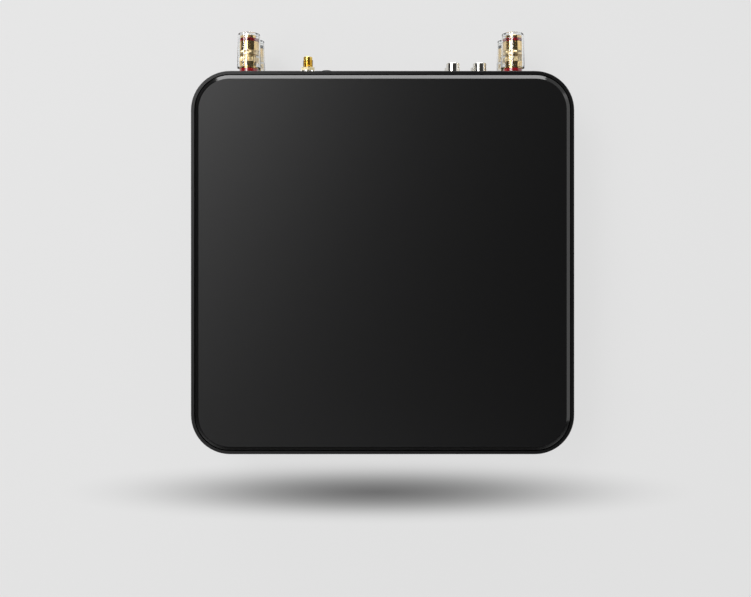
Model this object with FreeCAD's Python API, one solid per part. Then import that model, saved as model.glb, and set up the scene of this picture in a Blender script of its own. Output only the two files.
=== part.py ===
"""Bluetooth amplifier: a low square aluminium case with its connectors along the rear wall.

Millimetres. +X is to the right seen from the front, +Y towards the rear wall, +Z up.
The origin is under the middle of the whole outline, on the surface that the feet stand on.
"""

import FreeCAD, Part
import math
import os

Vector = FreeCAD.Vector

# Case
case_width = 235.0
case_depth = 235.0
case_height = 48.0
corner_radius = 24.0
frame_wall = 4.0
rim_width = 2.0
rim_edge_break = 0.4
lid_gap = 0.6
lid_thickness = 4.0
lid_chamfer_width = 2.3
lid_chamfer_height = 1.8
floor_thickness = 3.0
floor_gap = 0.3
column_inset = 13.0
column_radius = 5.5
lid_boss_radius = 3.3
lid_boss_length = 4.0
lid_thread_depth = 2.2

# Screws, all M3
screw_radius = 1.5
screw_clearance = 0.15
pan_head_radius = 2.8
pan_head_height = 2.0
pan_head_edge = 0.65
flat_head_radius = 2.8
flat_head_height = 1.6
hex_key_radius = 1.0
hex_key_depth = 1.2
screw_spare_depth = 1.0

# Feet
foot_height = 6.0
foot_radius = 11.0
foot_taper = 1.0
foot_edge = 1.0
foot_inset = 32.0
foot_recess_radius = 4.0
foot_recess_depth = 3.5

# Vents in the floor
vent_length = 34.0
vent_width = 3.0
vent_pitch = 8.0
vent_count = 7
vent_row_inset = 67.5

# Binding posts
left_post_inset = 33.9
right_post_inset = 36.1
post_upper_drop = 12.5
post_row_pitch = 19.0
post_reach = 25.0
stud_radius = 3.0
stud_running_gap = 0.05
stud_inner_length = 8.0
stud_tip_recess = 1.4
banana_radius = 2.0
banana_depth = 17.0
wire_hole_radius = 1.2
post_hole_radius = 5.0
post_spigot_gap = 0.1
flange_radius = 7.4
flange_thickness = 0.8
base_washer_radius = 5.9
base_washer_thickness = 2.2
stud_collar_radius = 4.8
clamp_washer_thickness = 0.6
clamp_washer_radius = 6.1
nut_radius = 5.9
nut_foot_radius = 5.0
nut_taper_length = 3.7
knurl_length = 2.6
knurl_depth = 0.3
knurl_count = 30
wide_groove_length = 1.3
wide_groove_radius = 5.2
ring_land_length = 1.5
fine_groove_length = 1.1
fine_groove_radius = 5.55
colour_ring_length = 2.0
colour_ring_depth = 0.7
nut_end_radius = 5.0
nut_end_length = 1.7
nut_end_gap = 0.5
shell_base_wall = 1.35
shell_tip_wall = 0.75
shell_fit = 0.15
shell_mouth_radius = 4.6
shell_lip_length = 1.0
flute_count = 12
flute_radius = 1.6
flute_depth = 0.2
inner_insulator_radius = 7.0
inner_insulator_thickness = 2.0
lock_nut_width = 10.0
lock_nut_thickness = 3.0

# Places along the rear wall, as shares of the way from the left posts to the right posts
antenna_share = 0.2255
inlet_share = 0.467
rocker_share = 0.64
phono_share = 0.824

# Antenna jack, 1/4-36 thread
antenna_drop = 9.0
antenna_thread_radius = 3.175
antenna_neck_relief = 0.2
antenna_hole_gap = 0.12
antenna_reach = 9.8
antenna_plain_length = 1.6
antenna_plain_radius = 2.75
antenna_shoulder_radius = 4.0
antenna_shoulder_length = 2.5
antenna_base_width = 6.4
antenna_bore_radius = 2.3
antenna_core_recess = 1.2
antenna_contact_radius = 0.65
antenna_nut_width = 8.0
antenna_nut_thickness = 2.0
antenna_washer_radius = 5.1
antenna_washer_step = 0.4
antenna_washer_thickness = 0.6
antenna_washer_count = 2

# Headphone-size input jack, 3.5 mm
aux_pitch = 11.7
aux_drop = 9.5
aux_nose_radius = 2.9
aux_nose_reach = 1.4
aux_hole_gap = 0.15
aux_bore_radius = 1.8
aux_bore_depth = 14.0
aux_body_width = 11.0
aux_body_height = 8.0

# Phono jacks, two columns by two rows
phono_column_pitch = 16.7
phono_upper_drop = 12.7
phono_row_pitch = 14.0
phono_reach = 6.5
phono_shell_radius = 4.15
phono_shell_wall = 0.5
phono_shell_depth = 3.0
phono_root_step = 0.35
phono_collar_wall = 0.45
phono_collar_gap = 0.15
phono_core_recess = 0.6
phono_contact_radius = 2.1
phono_pin_radius = 1.6
phono_pin_depth = 9.0
phono_housing_margin = 8.2
phono_housing_rise = 7.2
phono_housing_depth = 14.0
phono_screw_depth = 6.0

# Mains inlet
cutout_gap = 0.2
inlet_rise = 23.0
inlet_cavity_width = 24.4
inlet_cavity_height = 16.6
inlet_cavity_chamfer = 4.6
inlet_cavity_depth = 16.5
inlet_side_wall = 1.3
inlet_top_wall = 1.5
inlet_back_wall = 2.0
inlet_corner_radius = 2.5
inlet_flange_side = 1.85
inlet_flange_top = 2.2
inlet_flange_thickness = 2.0
inlet_pin_fit = 0.1
inlet_pin_spacing = 7.0
inlet_pin_offset = 2.0
inlet_pin_width = 2.0
inlet_pin_height = 4.0
inlet_pin_length = 11.0
inlet_tail_length = 8.0

# Power rocker
rocker_width = 10.0
rocker_length = 15.4
rocker_side_gap = 0.3
rocker_end_gap = 0.8
rocker_side_wall = 1.1
rocker_end_wall = 1.0
rocker_body_depth = 14.0
rocker_well_depth = 8.0
rocker_body_corner = 1.0
rocker_flange_side = 1.1
rocker_flange_end = 1.0
rocker_flange_thickness = 2.0
rocker_flange_corner = 2.5
rocker_face_rise = 2.9
rocker_face_angle = 7.0
rocker_tilt = 10.0
rocker_pivot_depth = 1.0
rocker_root_depth = 3.0
rocker_pin_radius = 1.0
rocker_pin_gap = 0.06
rocker_pin_length = 0.9

# Front controls
button_radius = 5.5
button_gap = 0.3
button_proud = 0.8
button_edge = 0.5
button_flange_overlap = 1.2
button_flange_thickness = 1.2
button_flange_gap = 0.2
button_travel = 0.6
button_stem_radius = 1.7
button_stem_insertion = 1.2
button_rise = 24.0
button_inset = 29.5
volume_button_pitch = 18.0
window_pitch = 24.0
window_width = 18.0
window_height = 5.0
window_fit = 0.15
window_recess = 0.3
window_lip = 1.5
window_lip_thickness = 1.0
switch_width = 6.0
switch_depth = 3.6
switch_stem_gap = 0.15
switch_stand_off = 5.0
front_board_margin = 9.0
front_board_height = 20.0
front_boss_radius = 3.0
front_boss_rise = 6.5
receiver_width = 9.0
receiver_height = 6.0

# Circuit boards
board_thickness = 1.6
board_margin = 5.0
standoff_height = 6.0
standoff_radius = 3.0
standoff_spigot_radius = 2.1
standoff_spigot_gap = 0.1
board_screw_depth = 4.5
power_board_side_gap = 16.5
power_board_width = 64.0
power_board_front = -85.0
power_board_depth = 130.0
board_spacing = 11.0
main_board_side_gap = 34.0
main_board_rear_gap = 6.0
main_board_depth = 120.0
radio_board_margin = 10.0
radio_board_end = 1.0
radio_board_lid_gap = 0.6
radio_board_height = 16.0
radio_board_standoff = 12.0
radio_can_width = 14.0
radio_can_height = 12.0
radio_can_thickness = 2.2

# What the boards carry
chip_width = 14.0
chip_depth = 10.0
chip_thickness = 2.8
chip_pitch = 34.0
heatsink_width = 60.0
heatsink_depth = 34.0
heatsink_base = 4.0
heatsink_height = 22.0
heatsink_fin_count = 8
heatsink_fin_thickness = 1.6
heatsink_leg_width = 5.0
inductor_width = 13.0
inductor_height = 10.0
inductor_chamfer = 2.1
inductor_pitch = 16.0
inductor_count = 4
capacitor_gap = 3.0
small_capacitor_radius = 7.0
small_capacitor_height = 25.0
small_capacitor_pitch = 16.0
small_capacitor_count = 4
large_capacitor_radius = 10.0
large_capacitor_height = 27.0
large_capacitor_pitch = 24.0
large_capacitor_inset = 32.5
large_capacitor_count = 2
transformer_width = 34.0
transformer_depth = 30.0
transformer_offset = 7.5
transformer_core_height = 20.0
transformer_bobbin_margin = 4.0
transformer_bobbin_rise = 3.0

# Wires inside
internal_wire_radius = 0.9
wire_arc_share = 0.45
wire_edge_margin = 7.0
left_wire_row = 43.5
left_wire_row_pitch = 10.0
left_wire_inset = 4.0
left_wire_pitch = 2.0
right_wire_row = 15.5
right_wire_row_pitch = 6.0
right_wire_inset = 8.0
right_wire_pitch = 4.0
mains_wire_row = 6.0
mains_wire_row_pitch = 3.0
mains_wire_inset = 33.0
mains_wire_pitch = 6.0
supply_wire_inset = 25.0
supply_wire_pitch = 6.0
supply_wire_rise = 12.0
supply_wire_landing = 4.0
radio_wire_inset = 6.0
radio_wire_rise = 4.0
radio_wire_row = 9.0
radio_wire_landing = 4.0

# Planes of the case
case_y = (button_proud - post_reach) / 2
front = case_y - case_depth / 2
rear = case_y + case_depth / 2
front_inner = front + frame_wall
rear_inner = rear - frame_wall
frame_bottom = foot_height
floor_top = frame_bottom + floor_thickness
lid_top = frame_bottom + case_height
lid_bottom = lid_top - lid_thickness
rim_top = lid_top - lid_chamfer_height
column_x = case_width / 2 - column_inset
column_y = case_depth / 2 - column_inset
column_top = lid_bottom - lid_boss_length
board_bottom = floor_top + standoff_height
board_top = board_bottom + board_thickness

# Places of the connectors and controls
left_post_x = left_post_inset - case_width / 2
right_post_x = case_width / 2 - right_post_inset
post_spread = right_post_x - left_post_x
post_upper_z = lid_top - post_upper_drop
post_lower_z = post_upper_z - post_row_pitch
antenna_x = left_post_x + antenna_share * post_spread
antenna_z = lid_top - antenna_drop
aux_x = antenna_x + aux_pitch
aux_z = lid_top - aux_drop
phono_x = left_post_x + phono_share * post_spread
phono_upper_z = lid_top - phono_upper_drop
phono_lower_z = phono_upper_z - phono_row_pitch
phono_middle_z = (phono_upper_z + phono_lower_z) / 2
inlet_x = left_post_x + inlet_share * post_spread
rocker_x = left_post_x + rocker_share * post_spread
inlet_z = frame_bottom + inlet_rise
power_button_x = button_inset - case_width / 2
window_x = power_button_x + window_pitch
volume_up_x = case_width / 2 - button_inset
volume_down_x = volume_up_x - volume_button_pitch
button_z = frame_bottom + button_rise
front_boss_z = button_z + front_boss_rise

# Sizes that follow from others
shell_bore = nut_radius + shell_fit
shell_base_radius = shell_bore + shell_base_wall
shell_tip_radius = shell_bore + shell_tip_wall
antenna_nut_face = antenna_washer_count * antenna_washer_thickness + antenna_nut_thickness
phono_root_radius = phono_shell_radius + phono_root_step
phono_collar_radius = phono_root_radius + phono_collar_wall
inlet_body_width = inlet_cavity_width + 2 * inlet_side_wall
inlet_body_height = inlet_cavity_height + 2 * inlet_top_wall
rocker_body_width = rocker_width + 2 * (rocker_side_gap + rocker_side_wall)
rocker_body_height = rocker_length + 2 * (rocker_end_gap + rocker_end_wall)

post_places = {
    "left_positive": (left_post_x, post_upper_z),
    "left_negative": (left_post_x, post_lower_z),
    "right_positive": (right_post_x, post_upper_z),
    "right_negative": (right_post_x, post_lower_z),
}
phono_places = [
    (phono_x + side * phono_column_pitch / 2, z)
    for side in (-1, 1)
    for z in (phono_upper_z, phono_lower_z)
]
button_places = {
    "power_button": power_button_x,
    "volume_down_button": volume_down_x,
    "volume_up_button": volume_up_x,
}


# Shapes used by several pieces

def block(low, high):
    """A box between two corners."""
    size = [b - a for a, b in zip(low, high)]
    return Part.makeBox(size[0], size[1], size[2], Vector(*low))


def upright(radius, low, high, x, y):
    """A vertical cylinder."""
    return Part.makeCylinder(radius, high - low, Vector(x, y, low), Vector(0, 0, 1))


def level(radius, start, end, x, z):
    """A cylinder along Y from start to end."""
    return Part.makeCylinder(radius, end - start, Vector(x, start, z), Vector(0, 1, 0))


def outline(inset, z):
    """The case's rounded square, drawn inset from its sides at height z."""
    half_x = case_width / 2 - inset
    half_y = case_depth / 2 - inset
    radius = corner_radius - inset
    return rounded_wire(half_x, half_y, radius, lambda x, y: Vector(x, case_y + y, z))


def rounded_wire(half_a, half_b, radius, place):
    """A rounded rectangle about the middle, each point put in space by place(a, b)."""
    bulge = radius * (1 - math.sqrt(0.5))
    corners = [(half_a, half_b), (-half_a, half_b), (-half_a, -half_b), (half_a, -half_b)]
    edges = []
    last = None
    first = None
    for index, (a, b) in enumerate(corners):
        side_a = math.copysign(1, a)
        side_b = math.copysign(1, b)
        on_a = place(a, b - side_b * radius)
        on_b = place(a - side_a * radius, b)
        middle = place(a - side_a * bulge, b - side_b * bulge)
        start, end = (on_a, on_b) if index % 2 == 0 else (on_b, on_a)
        if last is not None:
            edges.append(Part.LineSegment(last, start).toShape())
        else:
            first = start
        edges.append(Part.Arc(start, middle, end).toShape())
        last = end
    edges.append(Part.LineSegment(last, first).toShape())
    return Part.Wire(edges)


def case_slab(inset, low, high):
    """A slab with the case's rounded outline."""
    return Part.Face(outline(inset, low)).extrude(Vector(0, 0, high - low))


def rear_slab(width, height, radius, start, end, x, z):
    """A rounded rectangular block along Y."""
    wire = rounded_wire(width / 2, height / 2, radius, lambda a, b: Vector(x + a, start, z + b))
    return Part.Face(wire).extrude(Vector(0, end - start, 0))


def turned(profile, x, z, face=None):
    """A lathe-turned piece on an axis along Y: (radius, reach beyond the rear face) points."""
    base = rear if face is None else face
    points = [Vector(x + radius, base + reach, z) for radius, reach in profile]
    points.append(points[0])
    half = Part.Face(Part.makePolygon(points))
    return half.revolve(Vector(x, base, z), Vector(0, 1, 0), 360)


def hexagon(width, start, end, x, z):
    """A hexagonal bar along Y with a corner at the top."""
    corner = width / math.sqrt(3)
    points = []
    for index in range(7):
        angle = math.radians(60 * index)
        points.append(Vector(x + corner * math.sin(angle), start, z + corner * math.cos(angle)))
    return Part.Face(Part.makePolygon(points)).extrude(Vector(0, end - start, 0))


def routed_wire(points):
    """A round wire along straight runs joined by tangent arcs."""
    runs = [(b - a) for a, b in zip(points, points[1:])]
    edges = []
    last = points[0]
    for before, corner, after in zip(runs, points[1:], runs[1:]):
        turn = before.getAngle(after)
        radius = wire_arc_share * min(before.Length, after.Length) / math.tan(turn / 2)
        reach = radius * math.tan(turn / 2)
        back = Vector(before).normalize()
        ahead = Vector(after).normalize()
        start = corner - back * reach
        end = corner + ahead * reach
        inward = Vector(ahead - back).normalize()
        middle = corner + inward * (radius / math.cos(turn / 2) - radius)
        edges.append(Part.LineSegment(last, start).toShape())
        edges.append(Part.Arc(start, middle, end).toShape())
        last = end
    edges.append(Part.LineSegment(last, points[-1]).toShape())
    path = Part.Wire(edges)
    section = Part.Wire([Part.Circle(points[0], runs[0], internal_wire_radius).toShape()])
    return path.makePipeShell([section], True, True)


def flat_head_screw(x, y, low, high):
    """A countersunk screw set head down, its head flush at low."""
    head = Part.makeCone(
        flat_head_radius, screw_radius, flat_head_height, Vector(x, y, low), Vector(0, 0, 1)
    )
    shank = upright(screw_radius, low, high, x, y)
    key = upright(hex_key_radius, low, low + hex_key_depth, x, y)
    return head.fuse(shank).cut(key)


def pan_head_screw(place, direction, length):
    """A pan-head screw: place is under the head, direction points from the head to the tip."""
    head_place = place - direction * pan_head_height
    head = Part.makeCylinder(pan_head_radius, pan_head_height, head_place, direction)
    rim = min(head.Edges, key=lambda e: (e.CenterOfMass - place).dot(direction))
    head = head.makeFillet(pan_head_edge, [rim])
    shank = Part.makeCylinder(screw_radius, length, place, direction)
    key = Part.makeCylinder(hex_key_radius, hex_key_depth, head_place, direction)
    return head.fuse(shank).cut(key)


def corner_places():
    """The four corners that carry the case screws."""
    return [(sx * column_x, case_y + sy * column_y) for sx in (-1, 1) for sy in (-1, 1)]


def foot_places():
    """The four feet."""
    half_x = case_width / 2 - foot_inset
    half_y = case_depth / 2 - foot_inset
    return [(sx * half_x, case_y + sy * half_y) for sx in (-1, 1) for sy in (-1, 1)]


# Case

def top_cover():
    """The lid: a flat plate with a broad chamfer that stands above the frame's rim."""
    inset = rim_width + lid_gap
    plate = case_slab(inset, lid_bottom, rim_top)
    lower = outline(inset, rim_top)
    upper = outline(inset + lid_chamfer_width, lid_top)
    lid = plate.fuse(Part.makeLoft([lower, upper], True, True)).removeSplitter()
    for x, y in corner_places():
        boss = upright(lid_boss_radius, column_top, lid_bottom, x, y)
        hole = upright(screw_radius + screw_clearance, column_top, lid_bottom + lid_thread_depth, x, y)
        lid = lid.fuse(boss).cut(hole)
    return lid.removeSplitter()


def side_frame():
    """The ring of four walls, with a column in each corner and the holes for the connectors."""
    ring = case_slab(0, frame_bottom, rim_top)
    top_edges = [e for e in ring.Edges if min(v.Z for v in e.Vertexes) > frame_bottom]
    ring = ring.makeChamfer(rim_edge_break, top_edges)
    cavity = case_slab(frame_wall, frame_bottom, rim_top)
    lid_seat = case_slab(rim_width, lid_bottom, rim_top)
    floor_seat = case_slab(rim_width, frame_bottom, floor_top)
    frame = ring.cut(cavity).cut(lid_seat).cut(floor_seat)
    for x, y in corner_places():
        column = upright(column_radius, floor_top, column_top, x, y)
        hole = upright(screw_radius + screw_clearance, floor_top, column_top, x, y)
        frame = frame.fuse(column).cut(hole)
    for x in front_boss_places():
        boss = level(front_boss_radius, front_inner, front_board_front(), x, front_boss_z)
        hole = level(screw_radius + screw_clearance, front_inner, front_board_front(), x, front_boss_z)
        frame = frame.fuse(boss).cut(hole)
    for x, z in post_places.values():
        frame = frame.cut(level(post_hole_radius, rear_inner, rear, x, z))
    for x, z in phono_places:
        radius = phono_collar_radius + phono_collar_gap
        frame = frame.cut(level(radius, rear_inner, rear, x, z))
    frame = frame.cut(level(screw_radius + screw_clearance, rear_inner, rear, phono_x, phono_middle_z))
    antenna_radius = antenna_thread_radius + antenna_hole_gap
    frame = frame.cut(level(antenna_radius, rear_inner, rear, antenna_x, antenna_z))
    frame = frame.cut(level(aux_nose_radius + aux_hole_gap, rear_inner, rear, aux_x, aux_z))
    frame = frame.cut(inlet_body(cutout_gap, rear_inner, rear))
    frame = frame.cut(rocker_body(cutout_gap, rear_inner, rear))
    for x in button_places.values():
        frame = frame.cut(level(button_radius + button_gap, front, front_inner, x, button_z))
    frame = frame.cut(window_pill(window_fit, front, front_inner))
    return frame.removeSplitter()


def bottom_cover():
    """The floor plate, with countersunk corner holes, vents and holes for feet and standoffs."""
    plate = case_slab(rim_width + floor_gap, frame_bottom, floor_top)
    hole_radius = screw_radius + screw_clearance
    head_radius = flat_head_radius + screw_clearance
    for x, y in corner_places():
        countersink = Part.makeCone(
            head_radius, hole_radius, flat_head_height, Vector(x, y, frame_bottom), Vector(0, 0, 1)
        )
        plate = plate.cut(countersink).cut(upright(hole_radius, frame_bottom, floor_top, x, y))
    for x, y in foot_places():
        plate = plate.cut(upright(hole_radius, frame_bottom, floor_top, x, y))
    for x, y in standoff_places():
        radius = standoff_spigot_radius + standoff_spigot_gap
        plate = plate.cut(upright(radius, frame_bottom, floor_top, x, y))
    slots = []
    vent_x = case_width / 2 - vent_row_inset
    for side in (-1, 1):
        for index in range(vent_count):
            y = case_y + (index - (vent_count - 1) / 2) * vent_pitch
            slots.append(vent_slot(side * vent_x, y))
    return plate.cut(slots).removeSplitter()


def vent_slot(x, y):
    """One round-ended vent through the floor."""
    half = (vent_length - vent_width) / 2
    radius = vent_width / 2
    slot = block((x - half, y - radius, frame_bottom), (x + half, y + radius, floor_top))
    for end in (-half, half):
        slot = slot.fuse(upright(radius, frame_bottom, floor_top, x + end, y))
    return slot.removeSplitter()


def case_screws():
    """Four long screws that clamp the floor, the frame and the lid together."""
    tip = lid_bottom + lid_thread_depth - screw_clearance
    return [flat_head_screw(x, y, frame_bottom, tip) for x, y in corner_places()]


def rubber_feet():
    """Four round feet, a little narrower where they stand."""
    feet = []
    for x, y in foot_places():
        profile = [
            (screw_radius + screw_clearance, foot_recess_depth),
            (foot_recess_radius, foot_recess_depth),
            (foot_recess_radius, 0),
            (foot_radius - foot_taper - foot_edge, 0),
            (foot_radius - foot_taper, foot_edge),
            (foot_radius, foot_height),
            (screw_radius + screw_clearance, foot_height),
        ]
        points = [Vector(x + radius, y, z) for radius, z in profile]
        points.append(points[0])
        half = Part.Face(Part.makePolygon(points))
        feet.append(half.revolve(Vector(x, y, 0), Vector(0, 0, 1), 360))
    return feet


def foot_screws():
    """A pan-head screw up through each foot into the floor."""
    length = floor_top - foot_recess_depth
    up = Vector(0, 0, 1)
    return [pan_head_screw(Vector(x, y, foot_recess_depth), up, length) for x, y in foot_places()]


# Binding posts

def clamp_face():
    """How far the stud's collar stands beyond the rear face."""
    return flange_thickness + base_washer_thickness


def nut_stations():
    """The steps along the clamp nut, as distances beyond the rear face."""
    stations = [clamp_face() + clamp_washer_thickness]
    for length in (
        nut_taper_length,
        knurl_length,
        wide_groove_length,
        ring_land_length,
        fine_groove_length,
    ):
        stations.append(stations[-1] + length)
    return stations


def nut_end():
    """The outer end of the clamp nut, just behind the shell's lip."""
    return post_reach - shell_lip_length - nut_end_gap


def ring_start():
    """Where the coloured ring begins on the clamp nut."""
    return nut_end() - nut_end_length - colour_ring_length


def post_studs():
    """Gold-plated studs: a threaded rod with a collar, a socket for a plug and a wire hole."""
    studs = []
    for x, z in post_places.values():
        tip = post_reach - stud_tip_recess
        inner = -frame_wall - stud_inner_length
        profile = [
            (0, inner),
            (stud_radius, inner),
            (stud_radius, flange_thickness),
            (stud_collar_radius, flange_thickness),
            (stud_collar_radius, clamp_face()),
            (stud_radius, clamp_face()),
            (stud_radius, tip),
            (0, tip),
        ]
        stud = turned(profile, x, z)
        socket = level(banana_radius, rear + tip - banana_depth, rear + tip, x, z)
        hole_y = rear + clamp_face() + clamp_washer_thickness + wire_hole_radius
        hole = upright(wire_hole_radius, z - stud_radius, z + stud_radius, x, hole_y)
        studs.append(stud.cut(socket).cut(hole))
    return studs


def post_flanges():
    """Clear insulating flanges on the rear face, each with a spigot through the wall."""
    bore = stud_radius + screw_clearance
    spigot = post_hole_radius - post_spigot_gap
    profile = [
        (bore, -frame_wall),
        (spigot, -frame_wall),
        (spigot, 0),
        (flange_radius, 0),
        (flange_radius, flange_thickness),
        (bore, flange_thickness),
    ]
    return [turned(profile, x, z) for x, z in post_places.values()]


def base_washers(sign):
    """Coloured washers around the collars of the studs of one polarity."""
    bore = stud_collar_radius + screw_clearance
    profile = [
        (bore, flange_thickness),
        (base_washer_radius, flange_thickness),
        (base_washer_radius, clamp_face()),
        (bore, clamp_face()),
    ]
    return [turned(profile, x, z) for name, (x, z) in post_places.items() if name.endswith(sign)]


def post_inner_insulators():
    """Insulating washers against the inside of the rear wall."""
    bore = stud_radius + screw_clearance
    inner = -frame_wall - inner_insulator_thickness
    profile = [
        (bore, inner),
        (inner_insulator_radius, inner),
        (inner_insulator_radius, -frame_wall),
        (bore, -frame_wall),
    ]
    return [turned(profile, x, z) for x, z in post_places.values()]


def post_lock_nuts():
    """Nuts that pull the studs tight from inside."""
    nuts = []
    end = rear_inner - inner_insulator_thickness
    start = end - lock_nut_thickness
    for x, z in post_places.values():
        nut = hexagon(lock_nut_width, start, end, x, z)
        nuts.append(nut.cut(level(stud_radius + stud_running_gap, start, end, x, z)))
    return nuts


def clamp_washer(x, z):
    """A loose washer under the clamp nut that presses on the bare wire."""
    bore = stud_radius + screw_clearance
    outer = clamp_face() + clamp_washer_thickness
    profile = [
        (bore, clamp_face()),
        (clamp_washer_radius, clamp_face()),
        (clamp_washer_radius, outer),
        (bore, outer),
    ]
    return turned(profile, x, z)


def clamp_nut(x, z):
    """The gold-plated nut inside the clear shell: a tapered foot, a knurl, grooves and a barrel."""
    bore = stud_radius + stud_running_gap
    foot, knurl, wide, first, fine, second = nut_stations()
    end = nut_end()
    ring = ring_start()
    profile = [
        (bore, foot),
        (nut_foot_radius, foot),
        (nut_radius, knurl),
        (nut_radius - knurl_depth, knurl),
        (nut_radius - knurl_depth, wide),
        (wide_groove_radius, wide),
        (wide_groove_radius, first),
        (nut_radius, first),
        (nut_radius, fine),
        (fine_groove_radius, fine),
        (fine_groove_radius, second),
        (nut_radius, second),
        (nut_radius, ring),
        (nut_radius - colour_ring_depth, ring),
        (nut_radius - colour_ring_depth, ring + colour_ring_length),
        (nut_end_radius, ring + colour_ring_length),
        (nut_end_radius, end),
        (bore, end),
    ]
    nut = turned(profile, x, z)
    return nut.fuse(knurled_band(x, z, rear + knurl, rear + wide)).removeSplitter()


def knurled_band(x, z, start, end):
    """A band of fine ribs around the clamp nut."""
    points = []
    for index in range(2 * knurl_count + 1):
        angle = math.pi * index / knurl_count
        radius = nut_radius - (0 if index % 2 else knurl_depth)
        points.append(Vector(x + radius * math.sin(angle), start, z + radius * math.cos(angle)))
    band = Part.Face(Part.makePolygon(points)).extrude(Vector(0, end - start, 0))
    return band.cut(level(nut_foot_radius, start, end, x, z))


def colour_ring(x, z):
    """The coloured ring that tells the polarity, in a groove near the end of the clamp nut."""
    start = ring_start()
    end = start + colour_ring_length
    bore = nut_radius - colour_ring_depth
    profile = [(bore, start), (nut_radius, start), (nut_radius, end), (bore, end)]
    return turned(profile, x, z)


def clear_shell(x, z):
    """The clear fluted grip moulded over the clamp nut, open at the end for a plug."""
    foot = nut_stations()[0]
    lip = post_reach - shell_lip_length
    profile = [
        (shell_bore, foot),
        (shell_base_radius, foot),
        (shell_tip_radius, post_reach),
        (shell_mouth_radius, post_reach),
        (shell_mouth_radius, lip),
        (shell_bore, lip),
    ]
    shell = turned(profile, x, z)
    cutters = []
    for index in range(flute_count):
        angle = 2 * math.pi * (index + 0.5) / flute_count
        radial = Vector(math.sin(angle), 0, math.cos(angle))
        start = Vector(x, rear + foot, z) + radial * (shell_base_radius + flute_radius - flute_depth)
        end = Vector(x, rear + post_reach, z) + radial * (shell_tip_radius + flute_radius - flute_depth)
        along = end - start
        cutters.append(Part.makeCylinder(flute_radius, along.Length, start, along))
    return shell.cut(cutters)


# Antenna jack

def radio_board_face():
    """The side of the upright radio board that faces the rear wall."""
    return rear_inner - radio_board_standoff


def antenna_jack():
    """Gold-plated threaded jack: a square base on the board, a shoulder, a neck and the thread."""
    half = antenna_base_width / 2
    neck_radius = antenna_thread_radius - antenna_neck_relief
    shoulder_end = rear_inner - antenna_shoulder_length
    base = block(
        (antenna_x - half, radio_board_face(), antenna_z - half),
        (antenna_x + half, shoulder_end, antenna_z + half),
    )
    profile = [
        (0, -antenna_shoulder_length),
        (antenna_shoulder_radius, -antenna_shoulder_length),
        (antenna_shoulder_radius, 0),
        (neck_radius, 0),
        (neck_radius, frame_wall + antenna_nut_face),
        (antenna_thread_radius, frame_wall + antenna_nut_face),
        (antenna_thread_radius, frame_wall + antenna_reach - antenna_plain_length),
        (antenna_plain_radius, frame_wall + antenna_reach - antenna_plain_length),
        (antenna_plain_radius, frame_wall + antenna_reach),
        (0, frame_wall + antenna_reach),
    ]
    jack = base.fuse(turned(profile, antenna_x, antenna_z, rear_inner)).removeSplitter()
    tip = rear + antenna_reach
    return jack.cut(level(antenna_bore_radius, radio_board_face(), tip, antenna_x, antenna_z))


def antenna_insulator():
    """The white insulator in the jack, with the hole for the mating pin."""
    end = rear + antenna_reach - antenna_core_recess
    core = level(antenna_bore_radius, radio_board_face(), end, antenna_x, antenna_z)
    return core.cut(level(antenna_contact_radius, rear, end, antenna_x, antenna_z))


def antenna_washers():
    """Washers between the nut and the rear face."""
    washers = []
    hole = antenna_thread_radius + antenna_hole_gap
    for index in range(antenna_washer_count):
        start = rear + index * antenna_washer_thickness
        end = start + antenna_washer_thickness
        radius = antenna_washer_radius - antenna_washer_step * index
        washer = level(radius, start, end, antenna_x, antenna_z)
        washers.append(washer.cut(level(hole, start, end, antenna_x, antenna_z)))
    return washers


def antenna_nut():
    """The hexagon nut that holds the jack in the wall."""
    end = rear + antenna_nut_face
    start = end - antenna_nut_thickness
    nut = hexagon(antenna_nut_width, start, end, antenna_x, antenna_z)
    return nut.cut(level(antenna_thread_radius + antenna_hole_gap, start, end, antenna_x, antenna_z))


# Small input jack

def aux_jack():
    """A moulded 3.5 mm jack on the radio board, its nose through the wall."""
    body = block(
        (aux_x - aux_body_width / 2, radio_board_face(), aux_z - aux_body_height / 2),
        (aux_x + aux_body_width / 2, rear_inner, aux_z + aux_body_height / 2),
    )
    nose_end = rear + aux_nose_reach
    jack = body.fuse(level(aux_nose_radius, rear_inner, nose_end, aux_x, aux_z))
    return jack.cut(level(aux_bore_radius, nose_end - aux_bore_depth, nose_end, aux_x, aux_z))


# Phono jacks

def phono_housing():
    """The moulded block on the main board that carries the four jacks."""
    half = phono_column_pitch / 2 + phono_housing_margin
    body = block(
        (phono_x - half, rear_inner - phono_housing_depth, board_top),
        (phono_x + half, rear_inner, phono_upper_z + phono_housing_rise),
    )
    for x, z in phono_places:
        body = body.fuse(level(phono_collar_radius, rear_inner, rear, x, z))
        groove = level(phono_root_radius, rear - phono_shell_depth, rear, x, z)
        core_end = rear + phono_reach - phono_core_recess
        core_radius = phono_shell_radius - phono_shell_wall
        core = level(core_radius, rear - phono_shell_depth, core_end, x, z)
        body = body.cut(groove).fuse(core)
        body = body.cut(level(phono_contact_radius, core_end - phono_pin_depth, core_end, x, z))
    bottom = rear_inner - phono_screw_depth - screw_spare_depth
    hole = level(screw_radius + screw_clearance, bottom, rear_inner, phono_x, phono_middle_z)
    return body.cut(hole).removeSplitter()


def phono_shells():
    """The plated outer contacts, each with a wider root sunk in its collar."""
    shells = []
    for x, z in phono_places:
        start = rear - phono_shell_depth
        end = rear + phono_reach
        tube = level(phono_root_radius, start, rear, x, z).fuse(level(phono_shell_radius, rear, end, x, z))
        shells.append(tube.cut(level(phono_shell_radius - phono_shell_wall, start, end, x, z)))
    return shells


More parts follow.
